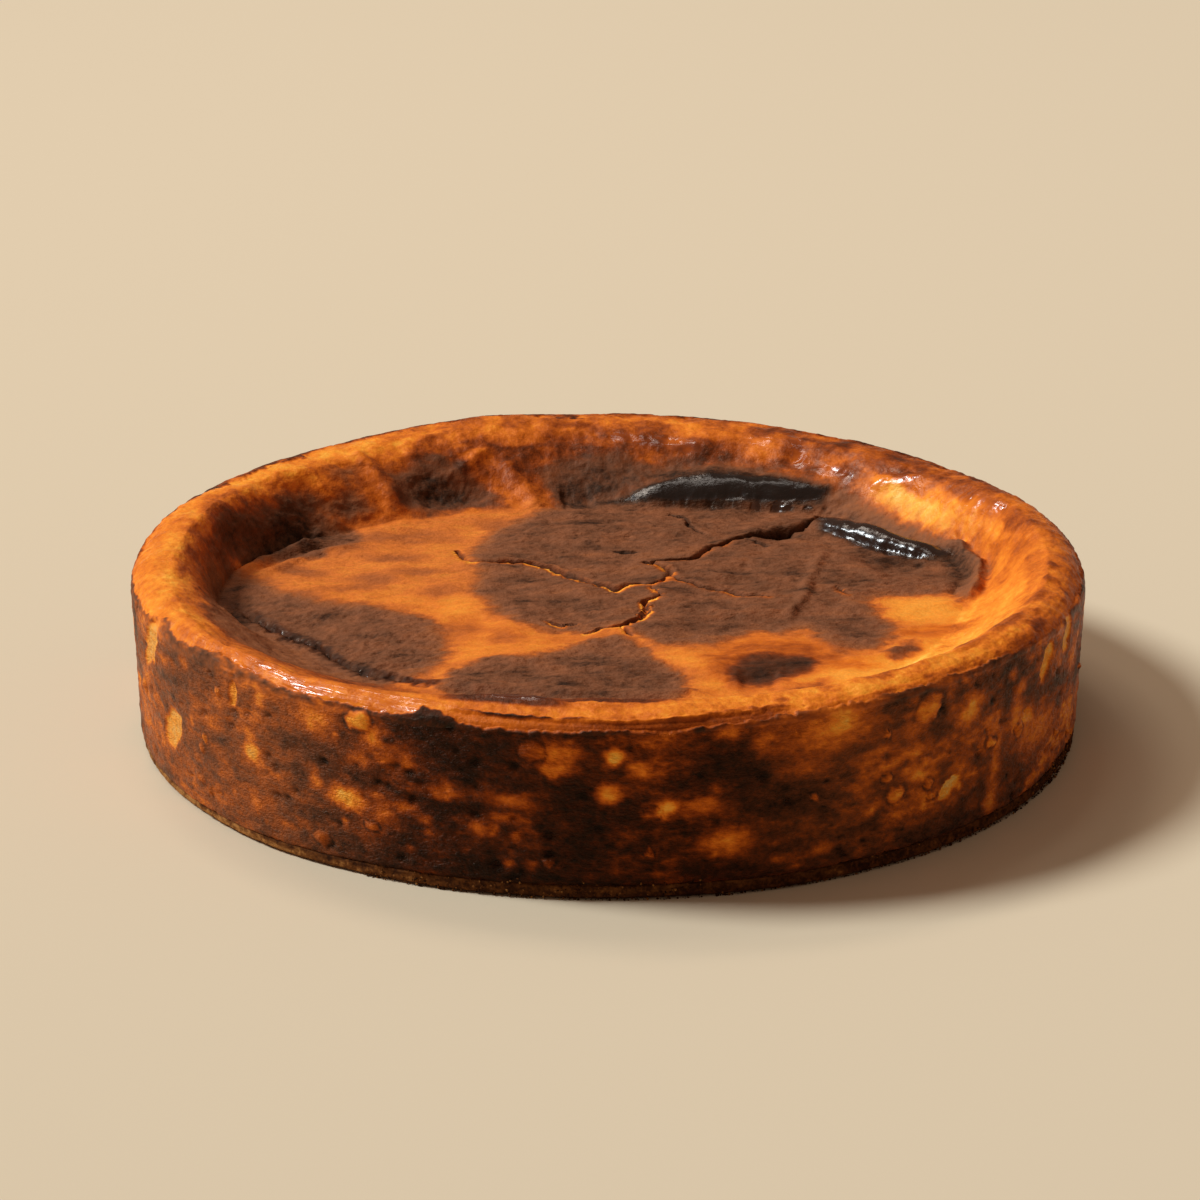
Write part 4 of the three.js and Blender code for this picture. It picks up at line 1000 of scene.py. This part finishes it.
def baked(name, stretch, fine, grainy, bump, shine, smooth=1.0, uneven=0.30, gleam=(1.0, 0.70, 0.46, 1.0)):
    m, t, shader = nodes_of(name)
    brown_a, matte_a, gloss_a = attribute(t, "brown"), attribute(t, "matte"), attribute(t, "gloss")
    big = grain_of(t, 2.4, stretch, 4.0, 0.68)
    small = grain_of(t, 0.7, stretch, 2.0, 0.5)
    b = value_of(t, "MULTIPLY_ADD", value_of(t, "SUBTRACT", big, 0.5), fine, brown_a)
    b = value_of(t, "MULTIPLY_ADD", value_of(t, "SUBTRACT", small, 0.5), fine * 0.6, b, clamp=True)
    mixer = t.nodes.new("ShaderNodeMix")
    mixer.data_type = "RGBA"
    t.links.new(matte_a, mixer.inputs[0])
    t.links.new(ramp_of(t, b, CUSTARD), mixer.inputs[6])
    t.links.new(ramp_of(t, b, COCOA), mixer.inputs[7])
    fine_grain = grain_of(t, 1.4, stretch, 3.0, 0.65)
    much = value_of(t, "MULTIPLY_ADD", matte_a, grainy[1], grainy[0])
    gain = value_of(t, "MULTIPLY_ADD", value_of(t, "SUBTRACT", fine_grain, 0.5), much, 1.0)
    gain = value_of(t, "MULTIPLY_ADD", value_of(t, "SUBTRACT", big, 0.5), value_of(t, "MULTIPLY", much, 0.8), gain)
    tint = t.nodes.new("ShaderNodeMix")
    tint.data_type = "RGBA"
    tint.blend_type = "MULTIPLY"
    tint.inputs[0].default_value = 1.0
    t.links.new(mixer.outputs[2], tint.inputs[6])
    t.links.new(gain, tint.inputs[7])
    t.links.new(tint.outputs[2], shader.inputs["Base Color"])
    rough = value_of(t, "MULTIPLY_ADD", gloss_a, -0.60, 0.74)
    rough = value_of(t, "MULTIPLY_ADD", value_of(t, "SUBTRACT", big, 0.5), uneven, rough, clamp=True)
    rough = value_of(t, "MAXIMUM", rough, 0.13)
    t.links.new(rough, shader.inputs["Roughness"])
    height = value_of(t, "ADD", value_of(t, "MULTIPLY_ADD", small, 0.5, big), value_of(t, "MULTIPLY", fine_grain, 1.1))
    height = value_of(t, "MULTIPLY", height, value_of(t, "MULTIPLY_ADD", matte_a, 1 - smooth, smooth))
    bm = t.nodes.new("ShaderNodeBump")
    bm.inputs["Strength"].default_value = bump
    bm.inputs["Distance"].default_value = 0.0009
    t.links.new(height, bm.inputs["Height"])
    t.links.new(bm.outputs[0], shader.inputs["Normal"])
    shader.inputs["IOR"].default_value = 1.45
    shader.inputs["Specular IOR Level"].default_value = shine
    shader.inputs["Specular Tint"].default_value = gleam
    return m


top.data.materials.append(baked("baked_top", (1.6, 1.0, 1.0), 0.22, (0.10, 0.80), 0.50, 0.20, 0.18))
rim_material = baked("baked_rim", (1.2, 1.2, 1.0), 0.30, (0.10, 0.5), 0.24, 0.24)
slope.data.materials.append(rim_material)
lip.data.materials.append(rim_material)
wet_top.data.materials.append(baked("wet_skin", (1.2, 1.2, 1.0), 0.10, (0.1, 0.1), 0.07, 0.50, 1.0, 0.12, (1.0, 0.97, 0.94, 1.0)))
side.data.materials.append(baked("baked_side", (1.5, 1.5, 0.8), 0.36, (0.36, 0.2), 0.80, 0.14))

m, t, shader = nodes_of("crumb")
tone_a = attribute(t, "tone")
speck = grain_of(t, 0.8, (1, 1, 1), 3.0, 0.6)
k = value_of(t, "MULTIPLY_ADD", value_of(t, "SUBTRACT", speck, 0.5), 0.8, tone_a, clamp=True)
t.links.new(ramp_of(t, k, [(0.0, 27, 13, 6), (0.35, 60, 31, 13), (0.7, 108, 63, 28), (1.0, 168, 114, 60)]), shader.inputs["Base Color"])
shader.inputs["Roughness"].default_value = 0.9
shader.inputs["Specular IOR Level"].default_value = 0.08
bm = t.nodes.new("ShaderNodeBump")
bm.inputs["Strength"].default_value = 0.7
bm.inputs["Distance"].default_value = 0.0004
t.links.new(speck, bm.inputs["Height"])
t.links.new(bm.outputs[0], shader.inputs["Normal"])
base.data.materials.append(m)

for ob, node in [(k, "baked_filling") for k in (top, slope, lip, wet_top, side)] + [(base, "crumb_base")]:
    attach(ob, "root")
    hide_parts(node)

# ---------------------------------------------------------------- stage
floor_me = bpy.data.meshes.new("floor")
floor_me.from_pydata([(-6, -4, 0), (6, -4, 0), (6, 8, 0), (-6, 8, 0)], [], [(0, 1, 2, 3)])
floor = bpy.data.objects.new("floor", floor_me)
bpy.context.scene.collection.objects.link(floor)
m, t, shader = nodes_of("floor")
shader.inputs["Base Color"].default_value = (0.70, 0.57, 0.40, 1)
shader.inputs["Roughness"].default_value = 0.9
shader.inputs["Specular IOR Level"].default_value = 0.2
floor_me.materials.append(m)


def softbox(name, place, size, watts, colour, aim=(0, 0, 0.03)):
    li = bpy.data.lights.new(name, "AREA")
    li.shape = "RECTANGLE"
    li.size, li.size_y = size
    li.energy = watts
    li.color = colour
    ob = bpy.data.objects.new(name, li)
    ob.location = place
    ob.rotation_euler = (Vector(aim) - Vector(place)).to_track_quat("-Z", "Y").to_euler()
    bpy.context.scene.collection.objects.link(ob)
    return ob


sun = bpy.data.lights.new("key", "SUN")
sun.energy = 3.28
sun.angle = math.radians(17)
sun.color = (0.865, 0.95, 1.0)
sun_ob = bpy.data.objects.new("key", sun)
sun_ob.rotation_euler = Vector((0.70, -0.10, -0.71)).to_track_quat("-Z", "Y").to_euler()
bpy.context.scene.collection.objects.link(sun_ob)
softbox("window", (-0.52, 0.80, 1.42), (0.56, 0.23), 4.4, (1.0, 0.90, 0.80))
softbox("strip", (-0.15, 0.60, 1.58), (0.34, 0.20), 1.05, (1.0, 0.93, 0.86))
world = bpy.data.worlds.new("studio")
world.use_nodes = True
world.node_tree.nodes["Background"].inputs[0].default_value = (1.0, 0.73, 0.57, 1)
world.node_tree.nodes["Background"].inputs[1].default_value = 0.235
bpy.context.scene.world = world
bpy.context.scene.view_settings.view_transform = "Standard"
bpy.context.scene.view_settings.look = "None"

cam = bpy.data.cameras.new("camera")
cam.sensor_width = 36
cam.lens = 36 * 5779 / 1200
cam.clip_end = 20
cam_ob = bpy.data.objects.new("camera", cam)
TILT, REACH = math.radians(20.25), 1.587
cam_ob.location = (-0.0021, -REACH * math.cos(TILT), REACH * math.sin(TILT) + 0.0348)
cam_ob.rotation_euler = (math.pi / 2 - TILT, 0, 0)
bpy.context.scene.collection.objects.link(cam_ob)
bpy.context.scene.camera = cam_ob
